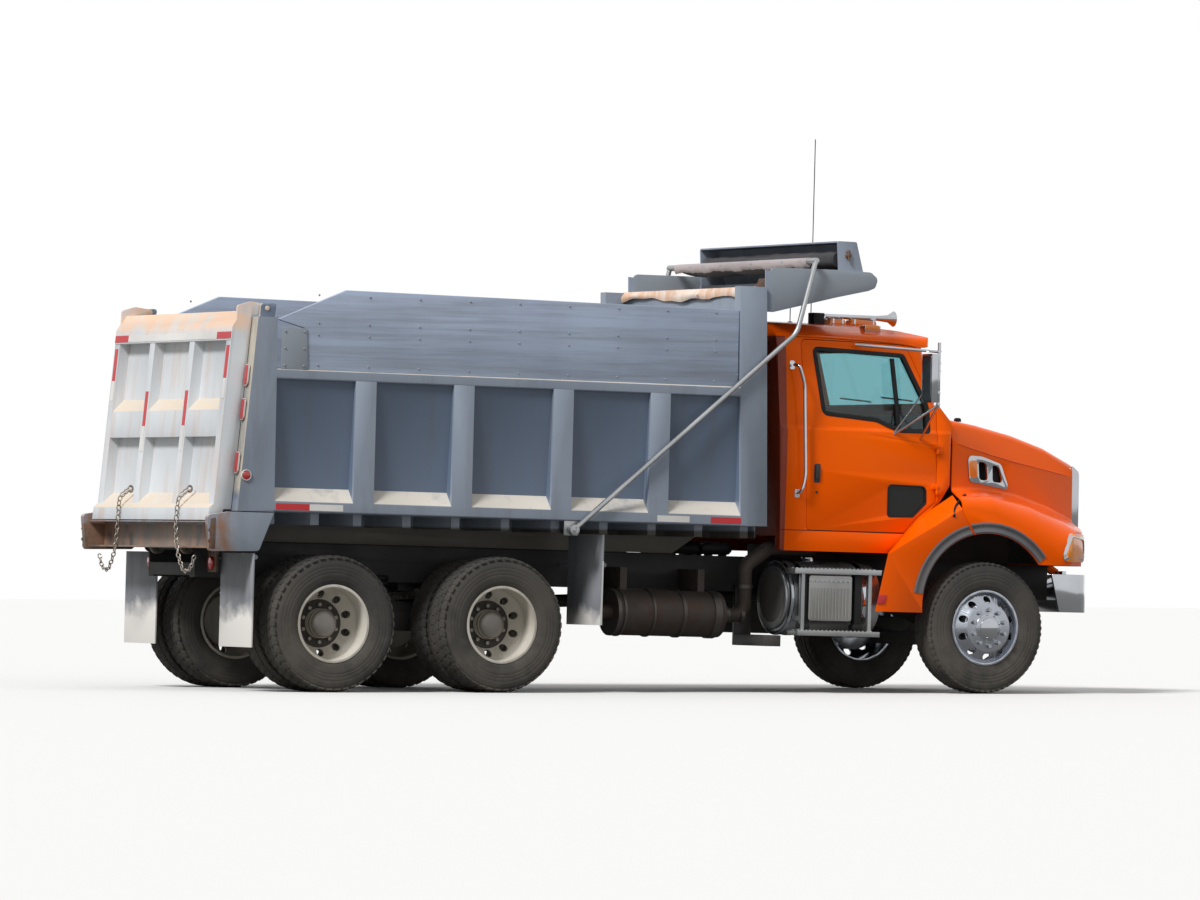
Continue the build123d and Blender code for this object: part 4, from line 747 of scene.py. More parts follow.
def dressWheel(node, x, faceY, side, front):
    centre, out = ground(x, faceY, wheelPlaces["radius"]), Vector((0, side, 0))
    places = []
    for index in range(wheelTrim["nuts"]):
        turn = 2 * math.pi * (index + 0.5) / wheelTrim["nuts"]
        reach = Vector((math.cos(turn), 0, math.sin(turn)))
        places.append((centre + reach * (wheelTrim["nutReach"] / 1000), out, reach))
    scattered(node + "_nuts", "nut", places, bodyOf[node], "chrome" if front else "hubGrey",
              wheelTrim["nutWide"], wheelTrim["nutTall"])
    if not front:
        ring = bmesh.new()
        addTurned(ring, wheelTrim["ring"], centre, out, 64)
        pieceOf(node + "_ring", ring, bodyOf[node], "hubDark")
    cap = bmesh.new()
    addTurned(cap, wheelTrim["frontCap" if front else "rearCap"], centre, out, 48, False)
    pieceOf(node + "_cap", cap, bodyOf[node], "chrome" if front else "hubGrey")


for name, side in sides:
    dressWheel("wheel_front_" + name, wheelPlaces["frontX"], side * wheelPlaces["frontFace"], side, True)
    for number, x in wheelPlaces["rearXs"]:
        dressWheel("wheels_rear_%d_%s" % (number, name), x, side * wheelPlaces["rearFace"], side, False)
print("wheels dressed")

# Tailgate: tapes on its stiles and cap, and the links of its chains
gateTrim = {
    "half": 1092, "foot": -1544, "lean": 0.09, "leanFrom": 1300, "stiles": (-1046, -372, 372, 1046),
    "outerFrom": 900, "outerTape": (2549, 2300, 2147), "innerTape": (2213, 1945, 1752), "tapeWide": 52,
    "face": 149.5, "capTape": (2600, 2652), "capFace": 153.5, "capSplit": 830, "capEnd": 1085,
    "chainIn": ((535, -1655, 1462), (535, -1738, 1400), (545, -1752, 1250), (530, -1752, 1080),
                (480, -1752, 950), (380, -1750, 830), (260, -1748, 850), (190, -1746, 960)),
    "linkPitch": 37, "linkWide": 15, "wire": 4.6, "rodReach": 0.013,
}


def onGate(depth):
    # An outline of (y, z) laid on the leaning gate
    return lambda a, b: level(gateTrim["foot"] - depth + gateTrim["lean"] * (b - gateTrim["leanFrom"]), a, b)


chains = [[level(x, side * (gateTrim["half"] - inward), z) for inward, x, z in gateTrim["chainIn"]]
          for side in (1, -1)]


def onChain(point):
    # Whether a point belongs to the plain rods that stand for the chains
    for path in chains:
        for first, last in zip(path[1:], path[2:]):
            along = last - first
            share = min(max((point - first).dot(along) / along.length_squared, 0), 1)
            if (point - first - along * share).length < gateTrim["rodReach"]:
                return True
    return False


softened("tailgate", "gateGreyPaintedLight", leaveOut=onChain)


def gateStrip(work, y0, y1, z0, z1, face):
    addSlab(work, [(y0, z0), (y1, z0), (y1, z1), (y0, z1)], onGate(face - 1), onGate(face + 1.2))


redTape, whiteTape = bmesh.new(), bmesh.new()
half = gateTrim["tapeWide"] / 2
for y in gateTrim["stiles"]:
    top, middle, low = gateTrim["outerTape" if abs(y) > gateTrim["outerFrom"] else "innerTape"]
    gateStrip(redTape, y - half, y + half, middle, top, gateTrim["face"])
    gateStrip(whiteTape, y - half, y + half, low, middle, gateTrim["face"])
low, top = gateTrim["capTape"]
gateStrip(whiteTape, -gateTrim["capSplit"], gateTrim["capSplit"], low, top, gateTrim["capFace"])
for side in (1, -1):
    gateStrip(redTape, side * gateTrim["capSplit"], side * gateTrim["capEnd"], low, top, gateTrim["capFace"])
pieceOf("gate_tape_red", redTape, "tailgate", "redTape")
pieceOf("gate_tape_white", whiteTape, "tailgate", "whiteTape")


def linkPlaces(points, pitch):
    # Even places along a path, every other link turned by a quarter
    fine = bent(points, 0.05, 8)
    places, left, turned = [], 0.0, False
    for before, after in zip(fine, fine[1:]):
        run = (after - before).length
        along = (after - before).normalized()
        while left < run:
            across = along.cross(Vector((1, 0, 0)) if turned else Vector((0, 0.3, 1)))
            places.append((before + along * left, across, along))
            turned = not turned
            left += pitch / 1000
        left -= run
    return places


places = []
for points in chains:
    places += linkPlaces(points, gateTrim["linkPitch"])
scattered("gate_chain_links", "chain", places, "tailgate", "chainSteel",
          gateTrim["linkWide"], gateTrim["wire"])
hooks = bmesh.new()
for side in (1, -1):
    top = level(gateTrim["chainIn"][0][1] + 8, side * (gateTrim["half"] - 535), 1462)
    loop = [top + Vector((-0.02 * math.sin(turn), 0, 0.026 * math.cos(turn))) for turn in
            (2 * math.pi * step / 12 for step in range(12))]
    addTube(hooks, loop, 0.006, 8, closed=True)
pieceOf("gate_chain_eyes", hooks, "tailgate", "chainSteel")
print("tailgate dressed")

# Bed: tapes on the low rails, lamp rims, post plates, board screws
bedTrim = {
    "tapes": ((-1222, -940, "red"), (-940, -660, "white"), (2020, 2300, "white"), (2486, 2751, "red")),
    "tapeLow": 1318, "tapeHigh": 1366, "tapeThick": 1.2, "railY": 1200.5, "postX": -1538, "postRise": 76,
    "lampZs": (1664, 2068, 2327), "lampY": 1132, "lampHalfWide": 26, "lampHalfTall": 76,
    "plate": [(-1206, 2384, 6), (-985, 2384, 6), (-1000, 2694, 6), (-1206, 2694, 6)],
    "plateYs": (1189, 1199),
    "plateScrews": ((-1180, 2410), (-1180, 2540), (-1180, 2668), (-1020, 2410), (-1020, 2540),
                    (-1020, 2668)),
    "boardY": 1189, "boardScrewXs": range(-900, 2700, 424), "boardScrewZs": (2420, 2650, 2740, 2950),
}


def onPost(side, proud):
    # An outline of (y, z) laid on the leaning back of a rear post
    def place(a, b):
        lean = gateTrim["lean"] * (b - bedTrim["postRise"] - gateTrim["leanFrom"])
        return level(bedTrim["postX"] + lean - proud, side * bedTrim["lampY"] + a, b)
    return place


def lampOval(z, grow):
    wide, tall = bedTrim["lampHalfWide"] + grow, bedTrim["lampHalfTall"] + grow
    return roundBox(-wide, wide, z - tall, z + tall, wide, 8)


redTape, whiteTape = bmesh.new(), bmesh.new()
for side in (1, -1):
    y = side * bedTrim["railY"]
    for x0, x1, colour in bedTrim["tapes"]:
        addBox(redTape if colour == "red" else whiteTape, x0, x1, y, y + side * bedTrim["tapeThick"],
               bedTrim["tapeLow"], bedTrim["tapeHigh"])
pieceOf("bed_tape_red", redTape, "bed", "redTape")
pieceOf("bed_tape_white", whiteTape, "bed", "whiteTape")

rims, screws, plates, lenses = bmesh.new(), [], bmesh.new(), bmesh.new()
for side in (1, -1):
    for z in bedTrim["lampZs"]:
        addBand(rims, lampOval(z, 6), lampOval(z, 1), onPost(side, 2), onPost(side, 14))
        addSlab(lenses, lampOval(z, 0), onPost(side, 8), onPost(side, 19))
    addTurned(rims, [(0.0, 0.034), (0.0, 0.042), (0.010, 0.042), (0.013, 0.038), (0.010, 0.034)],
              level(-1475, side * 1200, 1570), (0, side, 0), 28)
    near, far = bedTrim["plateYs"]
    addSlab(plates, rounded(bedTrim["plate"]), sideAt(side * near), sideAt(side * far))
    places = [(x, 1201, z) for x, z in bedTrim["plateScrews"]]
    places += [(x, bedTrim["boardY"], z) for x in bedTrim["boardScrewXs"] for z in bedTrim["boardScrewZs"]]
    screws += [(level(x, side * y, z), (0, side, 0), (1, 0, 0)) for x, y, z in places]
pieceOf("bed_lamp_rims", rims, "bed", "whitePaint")
pieceOf("bed_lamp_lenses", lenses, "bed", "redLens", edge=0.003)
pieceOf("bed_post_plates", plates, "bed", "bedLight", edge=0.002)
scattered("board_screws", "stud", screws, "bed", "bedLight", 9, 5)
print("bed dressed")

# Cab sides: window seals, door furniture, gutter, grab rails
cabTrim = {
    "window": [(3492, 2724, 40), (4300, 2694, 40), (4520, 2290, 200), (4530, 2086, 25), (4262, 2085, 90),
               (4050, 2163, 150), (3578, 2201, 60)],
    "porthole": [(4165, 1664, 30), (4500, 1658, 40), (4504, 1530, 20), (4392, 1421, 20), (4168, 1417, 20)],
    "sealIn": 26, "sealOut": 8, "railY": 1040, "skinY": 978,
    "ventBar": [(4190, 2660), (4222, 2660), (4262, 2286), (4272, 2090), (4240, 2092), (4230, 2286)],
    "crease": ((3470, 2103), (3600, 2100), (4050, 2056), (4192, 2037), (4570, 1986)),
    "gutter": ((3340, 2812), (3396, 2809), (3650, 2804), (3899, 2796), (4120, 2790), (4331, 2776),
               (4420, 2762)),
    "rail": ((3305, "skin", 2578), (3318, "rail", 2574), (3368, "rail", 2430), (3397, "rail", 1700),
             (3368, "rail", 1590), (3350, "skin", 1575)),
    "railFeet": ((3305, 2578), (3352, 1575)), "sillSeam": ((3215, 1290), (3700, 1290), (4318, 1288)),
}


def grown(outline, by):
    # An outline moved outwards by some millimetres, corner by corner
    out = []
    centreX = sum(a for a, b in outline) / len(outline)
    centreZ = sum(b for a, b in outline) / len(outline)
    for index, here in enumerate(outline):
        before, after = Vector(outline[index - 1]), Vector(outline[(index + 1) % len(outline)])
        along = (after - before).normalized()
        away = Vector((along.y, -along.x))
        if away.dot(Vector(here) - Vector((centreX, centreZ))) < 0:
            away = -away
        out.append(tuple(Vector(here) + away * by))
    return out


doorSkins = {side: ("door_" + name, "cab_side_" + name, "cab_roof", "cab_front") for name, side in sides}
formY = ((1127, 976), (1775, 990), (2075, 990), (2105, 974), (2690, 928), (2820, 898))


def cabY(z):
    for (z0, y0), (z1, y1) in zip(formY, formY[1:]):
        if z <= z1:
            return y0 + (y1 - y0) * (max(z, z0) - z0) / (z1 - z0)
    return formY[-1][1]


def onCab(side, proud):
    return lambda a, b: level(a, side * (cabY(b) + proud), b)


for name, side in sides:
    door, like = "door_" + name, "dashboard"
    outline = rounded(cabTrim["window"], 6)
    seal = bmesh.new()
    addBand(seal, grown(outline, cabTrim["sealOut"]), grown(outline, -cabTrim["sealIn"]),
            onCab(side, -34), onCab(side, 2.5))
    pieceOf(door + "_seal", seal, door, "rubber", edge=0.002)
    slabPiece(door + "_vent_bar", cabTrim["ventBar"], onCab(side, -28), onCab(side, -4), door, "rubber",
              0.002)
    port = bmesh.new()
    hole = rounded(cabTrim["porthole"], 6)
    addBand(port, grown(hole, 7), grown(hole, -7), onCab(side, -20), onCab(side, 3))
    pieceOf(door + "_porthole_rim", port, door, "rubber", edge=0.0015)
    slabPiece(door + "_porthole_glass", grown(hole, -2), onCab(side, -16), onCab(side, -10), door,
              "darkGlass")
    slabPiece(door + "_handle_cup", roundBox(3498, 3554, 1662, 1812, 14), onCab(side, -6), onCab(side, 1.5),
              door, "trim", 0.001)
    handle = bmesh.new()
    addSlab(handle, roundBox(3508, 3544, 1690, 1800, 8), onCab(side, 2), onCab(side, 16))
    addTurned(handle, [(0, 0.0), (0, 0.011), (0.006, 0.011), (0.008, 0.0)],
              level(3526, side * (cabY(1600) - 1), 1589), (0, side, 0), 20, False)
    pieceOf(door + "_handle", handle, door, "boxBlack", edge=0.003)
    lines = bmesh.new()
    addLine(lines, cabTrim["crease"], 3, 3, onCab(side, -2), onCab(side, 2))
    pieceOf(door + "_crease", lines, door, "orange", edge=0.0015)
    gutter = bmesh.new()
    addTube(gutter, [onSkin(doorSkins[side], side, x, z, 2) for x, z in cabTrim["gutter"]], 0.009, 8)
    pieceOf("cab_gutter_" + name, gutter, "chassis", "orange")
    rail = bmesh.new()
    reach = {"skin": side * cabTrim["skinY"], "rail": side * cabTrim["railY"]}
    addTube(rail, bent([level(x, reach[where], z) for x, where, z in cabTrim["rail"]], 0.05), 0.013, 12)
    for x, z in cabTrim["railFeet"]:
        addSlab(rail, roundBox(x - 22, x + 22, z - 34, z + 34, 14), onCab(side, -4), onCab(side, 6))
    pieceOf("cab_grab_rail_" + name, rail, "chassis", "chrome")
    seam = bmesh.new()
    addLine(seam, cabTrim["sillSeam"], 5, 1, onCab(side, -3), onCab(side, 0.6))
    pieceOf("cab_sill_seam_" + name, seam, "chassis", "rubber")
print("cab sides dressed")

# Nose: arch trims, vents, hood latches and creases, grille
noseTrim = {
    "archX": 4980, "archZ": 722, "mouth": 586, "rim": 670, "mouthDeep": 0.07, "steps": 44,
    "beads": ((586, 5), (594, 8), (602, 8), (608, 4), (626, 7), (644, 4), (650, 8), (662, 8), (670, 3)),
    "bands": (("front", "hood", (38, 38), (101.9, 104.5)),
              ("rear", "quarter_fenders", (103.9, 106.5), (171, 171))),
    "ventLamp": [(4922, 1880, 26), (5000, 1884, 26), (5010, 1742, 26), (4936, 1748, 26)],
    "ventDepth": [(5000, 1900), (5300, 1870), (5310, 1690), (5005, 1700)], "ventDepthYs": (760, 790),
    "crease": ((4803, 2010), (4950, 1976), (5150, 1934), (5420, 1884), (5694, 1842), (5980, 1796)),
    "slats": 17, "slatFoot": 1205, "slatPitch": 33, "slatTall": 12,
}


def archBand(work, side, node, start, end):
    # A beaded band laid on the fender round the arch, and turned in at its mouth. Its ends follow the
    # joint of hood and quarter fender: start and end give their angles at the mouth and at the rim.
    rings = []
    for step in range(noseTrim["steps"] + 1):
        def at(reach, proud):
            share = (reach - noseTrim["mouth"]) / (noseTrim["rim"] - noseTrim["mouth"])
            first, last = (ends[0] + (ends[1] - ends[0]) * share for ends in (start, end))
            turn = math.radians(first + (last - first) * step / noseTrim["steps"])
            return onSkin((node,), side, noseTrim["archX"] + reach * math.cos(turn),
                          noseTrim["archZ"] + reach * math.sin(turn), proud)
        front = [at(reach, proud) for reach, proud in noseTrim["beads"]]
        mouth = front[0].copy()
        mouth.y -= side * noseTrim["mouthDeep"]
        back = [at(reach, -6) for reach, proud in noseTrim["beads"][::-1]]
        rings.append([work.verts.new(point) for point in [mouth] + front + back])
    addLoft(work, rings)


def onVents(side, proud):
    return lambda a, b: onSkin(("vents",), side, a, b, proud)


for name, side in sides:
    for part, node, start, end in noseTrim["bands"]:
        trim = bmesh.new()
        archBand(trim, side, node, start, end)
        pieceOf("arch_trim_%s_%s" % (part, name), trim, bodyOf[node], "trimGrey", degrees=50)
    slabPiece("vent_lamp_" + name, rounded(noseTrim["ventLamp"], 5), onVents(side, -4), onVents(side, 10),
              "hood", "amberLens", 0.003)
    near, far = noseTrim["ventDepthYs"]
    slabPiece("vent_depth_" + name, noseTrim["ventDepth"], sideAt(side * near), sideAt(side * far), "hood",
              "rubber")
    latch = bmesh.new()
    addTube(latch, bent([onSkin(("quarter_fenders",), side, 4660, 1430, 8), level(4700, side * 1112, 1500),
                         level(4770, side * 1080, 1580), onSkin(("hood",), side, 4812, 1600, 6)], 0.03),
            0.011, 10)
    pieceOf("hood_latch_" + name, latch, "hood", "rubber")
    seam = bmesh.new()
    addTube(seam, [onSkin(("hood",), side, x, z, 1) for x, z in noseTrim["crease"]], 0.004, 6)
    pieceOf("hood_crease_" + name, seam, "hood", "orange")
bump = bmesh.new()
for side in (1, -1):
    addTurned(bump, [(-0.01, 0.03), (0.012, 0.028), (0.02, 0.02), (0.022, 0.0)],
              level(4940, side * 690, 2198), (0, 0, 1), 20, False)
pieceOf("hood_bumps", bump, "hood", "rubber")

mesh = bmesh.new()
for index in range(noseTrim["slats"]):
    z = noseTrim["slatFoot"] + index * noseTrim["slatPitch"]
    addBox(mesh, 6082, 6092, -466, 466, z, z + noseTrim["slatTall"])
pieceOf("grille_slats", mesh, "hood", "chrome", edge=0.0015)
screen = bmesh.new()
addBox(screen, 6062, 6066, -468, 468, 1182, 1788)
pieceOf("grille_screen", screen, "hood", "rubber")
print("nose dressed")

# Chassis: silencer bands, tank straps and filler, steps, air bags, reflector, flap edges
chassisTrim = {
    "silencer": {"y": -740, "z": 610, "bands": ((1905, 1925), (2160, 2180), (2420, 2450), (2700, 2760)),
                 "bandIn": 0.176, "bandOut": 0.187, "endX": 1862, "pipeClamps": (2860, 2990)},
    "tank": {"y": -769, "z": 756, "straps": ((3385, 3430), (3925, 3970)), "strapIn": 0.288,
             "strapOut": 0.2935, "endX": 3290, "fillerX": 3640, "fillerY": -659, "fillerZ": 1054},
    "plate": {"outline": [(3396, 584, 20), (3396, 936, 20), (3776, 936, 20), (3776, 584, 20)], "y": -1147,
              "ribs": 12, "ribX": 3420, "ribPitch": 30, "slots": 9, "slotX": 3418, "slotPitch": 42},
    "hangerXs": (3340, 3812), "treads": ((991, 3290, 4010), (507, 3310, 4010)), "treadPitch": 36,
    "reflector": [(3988, 726, 8), (4060, 726, 8), (4078, 800, 8), (4006, 800, 8)],
    "flapEdge": [(1552, 510), (1566, 510), (1570, 1000), (1562, 1000)],
}
bands = bmesh.new()
spec = chassisTrim["silencer"]
for x0, x1 in spec["bands"]:
    long = (x1 - x0) / 1000
    addTurned(bands, [(0, spec["bandIn"]), (0, 0.185), (0.001, spec["bandOut"]), (long, spec["bandOut"]),
                      (long, spec["bandIn"])], level(x0, spec["y"], spec["z"]), forward, 48)
addTurned(bands, [(0, 0.17), (-0.01, 0.182), (0.008, 0.184), (0.02, 0.18)],
          level(spec["endX"], spec["y"], spec["z"]), forward, 48, False)
for x in spec["pipeClamps"]:
    addTurned(bands, [(0, 0.056), (0, 0.066), (0.03, 0.066), (0.03, 0.056)], level(x, spec["y"], spec["z"]),
              forward, 32)
addTurned(bands, [(0, 0.056), (0, 0.067), (0.03, 0.067), (0.03, 0.056)], level(3037, spec["y"], 820),
          upward, 32)
pieceOf("silencer_bands", bands, "chassis", "steel")
straps, ends, disc, cap = bmesh.new(), bmesh.new(), bmesh.new(), bmesh.new()
spec = chassisTrim["tank"]
for x0, x1 in spec["straps"]:
    long = (x1 - x0) / 1000
    addTurned(straps, [(0, spec["strapIn"]), (0, spec["strapOut"]), (long, spec["strapOut"]),
                       (long, spec["strapIn"])], level(x0, spec["y"], spec["z"]), forward, 72)
pieceOf("tank_straps", straps, "chassis", "chrome")
centre = level(spec["endX"], spec["y"], spec["z"])
addTurned(ends, [(0.0, 0.2), (-0.006, 0.262), (0.001, 0.286), (0.012, 0.2925), (0.03, 0.2925),
                 (0.032, 0.286)],
          centre, forward, 72, False)
pieceOf("tank_end_band", ends, "chassis", "polished")
addTurned(disc, [(0.0, 0.25), (-0.012, 0.243), (-0.0275, 0.19), (-0.029, 0.1), (-0.0295, 0.0)],
          centre, forward, 64, False)
pieceOf("tank_end_cap", disc, "chassis", "castGrey")
addTurned(cap, [(0.0, 0.05), (0.012, 0.054), (0.03, 0.054), (0.036, 0.05), (0.038, 0.0)],
          level(spec["fillerX"], spec["fillerY"], spec["fillerZ"]), (0, 0, 1), 28, False)
centre = level(spec["fillerX"], spec["fillerY"], spec["fillerZ"] + 4)
for quarter in range(4):
    angle = quarter * math.pi / 2
    across = Vector((math.cos(angle), math.sin(angle), 0))
    addTube(cap, [centre + across * 0.05, centre + across * 0.06], 0.012, 8)
pieceOf("tank_filler", cap, "chassis", "chrome")
spec = chassisTrim["plate"]
slabPiece("tank_side_plate", rounded(spec["outline"]), sideAt(-1140), sideAt(-1146), "chassis", "brushed",
          0.002)
ribs = [(level(spec["ribX"] + index * spec["ribPitch"], spec["y"], 720), (0, -1, 0), (1, 0, 0))
        for index in range(spec["ribs"])]
scattered("tank_plate_ribs", "block", ribs, "chassis", "brushed", 7, 7, 240)
slots = [(level(spec["slotX"] + index * spec["slotPitch"], spec["y"], 896), (0, -1, 0), (1, 0, 0.5))
         for index in range(spec["slots"])]
scattered("tank_plate_slots", "block", slots, "chassis", "polished", 26, 10, 12)
hangers = bmesh.new()
for x in chassisTrim["hangerXs"]:
    addBox(hangers, x, x + 62, -1128, -1066, 500, 1000)
    addBox(hangers, x - 14, x + 76, -1134, -1060, 520, 560)
pieceOf("tank_hangers", hangers, "chassis", "rubber", edge=0.004)
treads, pitch = [], chassisTrim["treadPitch"]
for z, x0, x1 in chassisTrim["treads"]:
    for row in range(4):
        for index in range(int((x1 - x0) / pitch)):
            x = x0 + index * pitch + (row % 2) * 18
            treads.append((level(x, -1140 + row * 38, z), (0, 0, 1), (1, 0, 0)))
scattered("step_treads", "stud", treads, "chassis", "brushed", 9, 5)
bags = bmesh.new()
profile = [(0.0, 0.07), (0.002, 0.096)]
for base in (0.006 + index * 0.042 for index in range(3)):
    profile += [(base, 0.1), (base + 0.010, 0.112), (base + 0.022, 0.116), (base + 0.034, 0.112),
                (base + 0.040, 0.1)]
profile += [(0.136, 0.096), (0.138, 0.0)]
edges = bmesh.new()
for side in (1, -1):
    addTurned(bags, profile, ground(0, side * 385, 752), (0, 0, 1), 40, False)
    addSlab(edges, chassisTrim["flapEdge"], sideAt(side * 1189), sideAt(side * 1194))
pieceOf("air_bags", bags, "chassis", "rubber")
slabPiece("fender_reflector", rounded(chassisTrim["reflector"]), sideAt(-1166), sideAt(-1171), "chassis",
          "redTape", 0.001)
pieceOf("front_flap_edges", edges, "chassis", "whitePaint")
print("chassis dressed")

# Tarp: the wound cloth on its roller, the free strip to the bow, and the sleeve on the bow
tarpTrim = {
    "roll": {"x": 3612, "z": 3405, "radius": 78, "half": 1118, "across": 60, "around": 56, "inset": 5,
             "endDrop": 10, "axleEnd": 1149},
    "strip": {"half": 1090, "sag": 26, "rows": 26, "columns": 70, "thick": 0.0015, "spare": 1.02},
    "bow": (3333, 3386), "sleeve": {"half": 1120, "columns": 90, "hang": 46},
}


def tarpRoll():
    # The cloth as it is wound, a little loose and uneven
    spec = tarpTrim["roll"]
    work, rings = bmesh.new(), []
    for i in range(spec["across"] + 1):
        y = -spec["half"] + 2 * spec["half"] * i / spec["across"]
        ring = []
        for j in range(spec["around"]):
            turn = 2 * math.pi * j / spec["around"]
            fold = 3.2 * math.sin(5 * turn + 0.004 * y) + 2.6 * math.sin(0.021 * y + 2 * turn)
            fold += 1.8 * math.sin(0.05 * y)
            edge = -spec["endDrop"] if i in (0, spec["across"]) else 0
            reach = spec["radius"] + fold + edge - spec["inset"]
            ring.append(work.verts.new(level(spec["x"] + reach * math.cos(turn), y,
                                             spec["z"] + reach * math.sin(turn))))
        rings.append(ring)
    addLoft(work, rings)
    pieceOf("tarp_wound_roll", work, "bed", "tarp", nodes=("tarp_roll",), degrees=60)
    ends = bmesh.new()
    for side in (1, -1):
        addTube(ends, [level(spec["x"], side * (spec["half"] - 10), spec["z"]),
                       level(spec["x"], side * spec["axleEnd"], spec["z"])], 0.02, 20)
    pieceOf("tarp_roller_ends", ends, "bed", "steel")


def tarpStrip():
    # One sheet from under the roll to the sleeve on the bow, sagging a little between them
    rollSpec, strip = tarpTrim["roll"], tarpTrim["strip"]
    start = (rollSpec["x"] - 8, rollSpec["z"] - rollSpec["radius"] - 3)
    end = (tarpTrim["bow"][0] + 26, tarpTrim["bow"][1] - 34)
    rows, columns = strip["rows"], strip["columns"]
    points = []
    for i in range(rows + 1):
        t = i / rows
        for j in range(columns + 1):
            y = -strip["half"] + 2 * strip["half"] * j / columns
            sag = strip["sag"] * 4 * t * (1 - t) * (0.7 + 0.3 * math.sin(0.009 * y + 1.0))
            ripple = 3 * math.sin(0.02 * y + 3 * t) * math.sin(math.pi * t)
            points.append(level(start[0] + (end[0] - start[0]) * t, y,
                                start[1] + (end[1] - start[1]) * t - sag + ripple))
    faces = [(i * (columns + 1) + j, i * (columns + 1) + j + 1, (i + 1) * (columns + 1) + j + 1,
              (i + 1) * (columns + 1) + j) for i in range(rows) for j in range(columns)]
    mesh = bpy.data.meshes.new("tarp_strip_mesh")
    mesh.from_pydata(points, [], faces)
    piece = linked("tarp_strip", mesh)
    mesh.materials.append(finishes["tarp"])
    thickened(piece, strip["thick"], 60)
    level(start[0], 0, start[1])
    level(end[0], 0, end[1])
    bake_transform(piece)


def bowSleeve():
    # The tarp's end, sewn round the bow and hanging a little below it
    spec, (x, z) = tarpTrim["sleeve"], tarpTrim["bow"]
    work, rings = bmesh.new(), []
    for i in range(spec["columns"] + 1):
        y = -spec["half"] + 2 * spec["half"] * i / spec["columns"]
        ripple = 3.5 * math.sin(0.024 * y) + 2.5 * math.sin(0.061 * y + 1)
        hang = spec["hang"] + 5 * math.sin(0.011 * y + 0.6) + ripple
        section = [(26, 6), (20, 20), (4, 27), (-14, 22), (-25, 8), (-25, -12), (-20, -30), (-11, -hang + 6),
                   (-2, -hang), (8, -hang + 6), (18, -30), (26, -12)]
        rings.append([work.verts.new(level(x + a + ripple * 0.4, y, z + b)) for a, b in section])
    addLoft(work, rings)
    pieceOf("tarp_bow_sleeve", work, "tarp_arms", "sleeve", degrees=60)


tarpRoll()
bowSleeve()
tarpStrip()

# Roof: amber lenses on the marker lamps, side lamps with clips, the block and the horn's bell
roofTrim = {
    "lamps": ((-760, 4090, 2906), (-200, 4300, 2940), (0, 4310, 2940), (200, 4300, 2940), (760, 4090, 2906)),
    "lampHalf": 47, "sideLamps": ((3828, 3985), (4020, 4262)), "sideLampYs": (-566, -462),
    "block": (3697, 3793, -548, -452, 2890, 3010), "horn": (4300, -500, 2988),
    "bell": [(0.0, 0.02), (0.06, 0.024), (0.1, 0.034), (0.13, 0.05), (0.139, 0.06), (0.139, 0.054),
             (0.12, 0.036), (0.04, 0.01), (0.0, 0.008)],
}
for index, (y, x, top) in enumerate(roofTrim["lamps"]):
    slabPiece("roof_lamp_%d" % (index + 1),
              rounded([(x - 72, top - 30, 8), (x + 72, top - 30, 8), (x + 60, top + 14, 18),
                       (x - 66, top + 16, 18)]),
              sideAt(y - roofTrim["lampHalf"]), sideAt(y + roofTrim["lampHalf"]), "chassis", "amberLens",
              0.006)
beacon, clips = bmesh.new(), bmesh.new()
near, far = roofTrim["sideLampYs"]
for x0, x1 in roofTrim["sideLamps"]:
    addSlab(beacon, rounded([(x0, 2915, 6), (x1, 2906, 6), (x1 - 12, 2964, 18), (x0 + 12, 2970, 18)]),
            sideAt(near), sideAt(far))
    for x in (x0 + 30, x1 - 44):
        addBox(clips, x, x + 14, near - 3, far + 3, 2908, 2971)
pieceOf("roof_side_lamps", beacon, "chassis", "amberLens", edge=0.006)
pieceOf("roof_lamp_clips", clips, "chassis", "chrome", edge=0.002)
block = bmesh.new()
addBox(block, *roofTrim["block"])
addTube(block, [level(3745, -500, 3000), level(3745, -500, 3011)], 0.03, 16)
pieceOf("roof_block", block, "chassis", "rubber", edge=0.004)
horn = bmesh.new()
addTurned(horn, roofTrim["bell"], level(*roofTrim["horn"]), forward, 40)
pieceOf("roof_horn_bell", horn, "chassis", "chrome")

# Mirrors: a glass in the back of each head, and round clamps on the tubes
mirrorTrim = {"y": 1240, "half": 66, "foot": 2330, "head": 2684, "clamps": (2300, 2390, 2560, 2620, 2716)}
for name, side in sides:
    y = side * mirrorTrim["y"]
    outline = roundBox(y - mirrorTrim["half"], y + mirrorTrim["half"], mirrorTrim["foot"],
                       mirrorTrim["head"], 16)
    slabPiece("mirror_glass_" + name, outline, backAt(4344.5), backAt(4341), "door_" + name, "polished")
    clamps = [(level(4452, y, z), (0, 0, 1), (1, 0, 0)) for z in mirrorTrim["clamps"]]
    scattered("mirror_clamps_" + name, "stud", clamps, "door_" + name, "chrome", 19, 26)

# Seats: crowned cushions, swollen from boxes, on plain boxes
seatTrim = {
    "y": 480, "base": [(3445, 1565), (3955, 1565), (3955, 1700), (3445, 1712)], "baseHalf": 245,
    "baseSwell": 0.016, "back": [(3352, 1712), (3556, 1712), (3462, 2395), (3352, 2395)], "backHalf": 232,
    "backSwell": 0.018, "boxXs": (3524, 3856), "boxHalf": 178, "boxZs": (1291, 1562), "fill": 0.8,
}


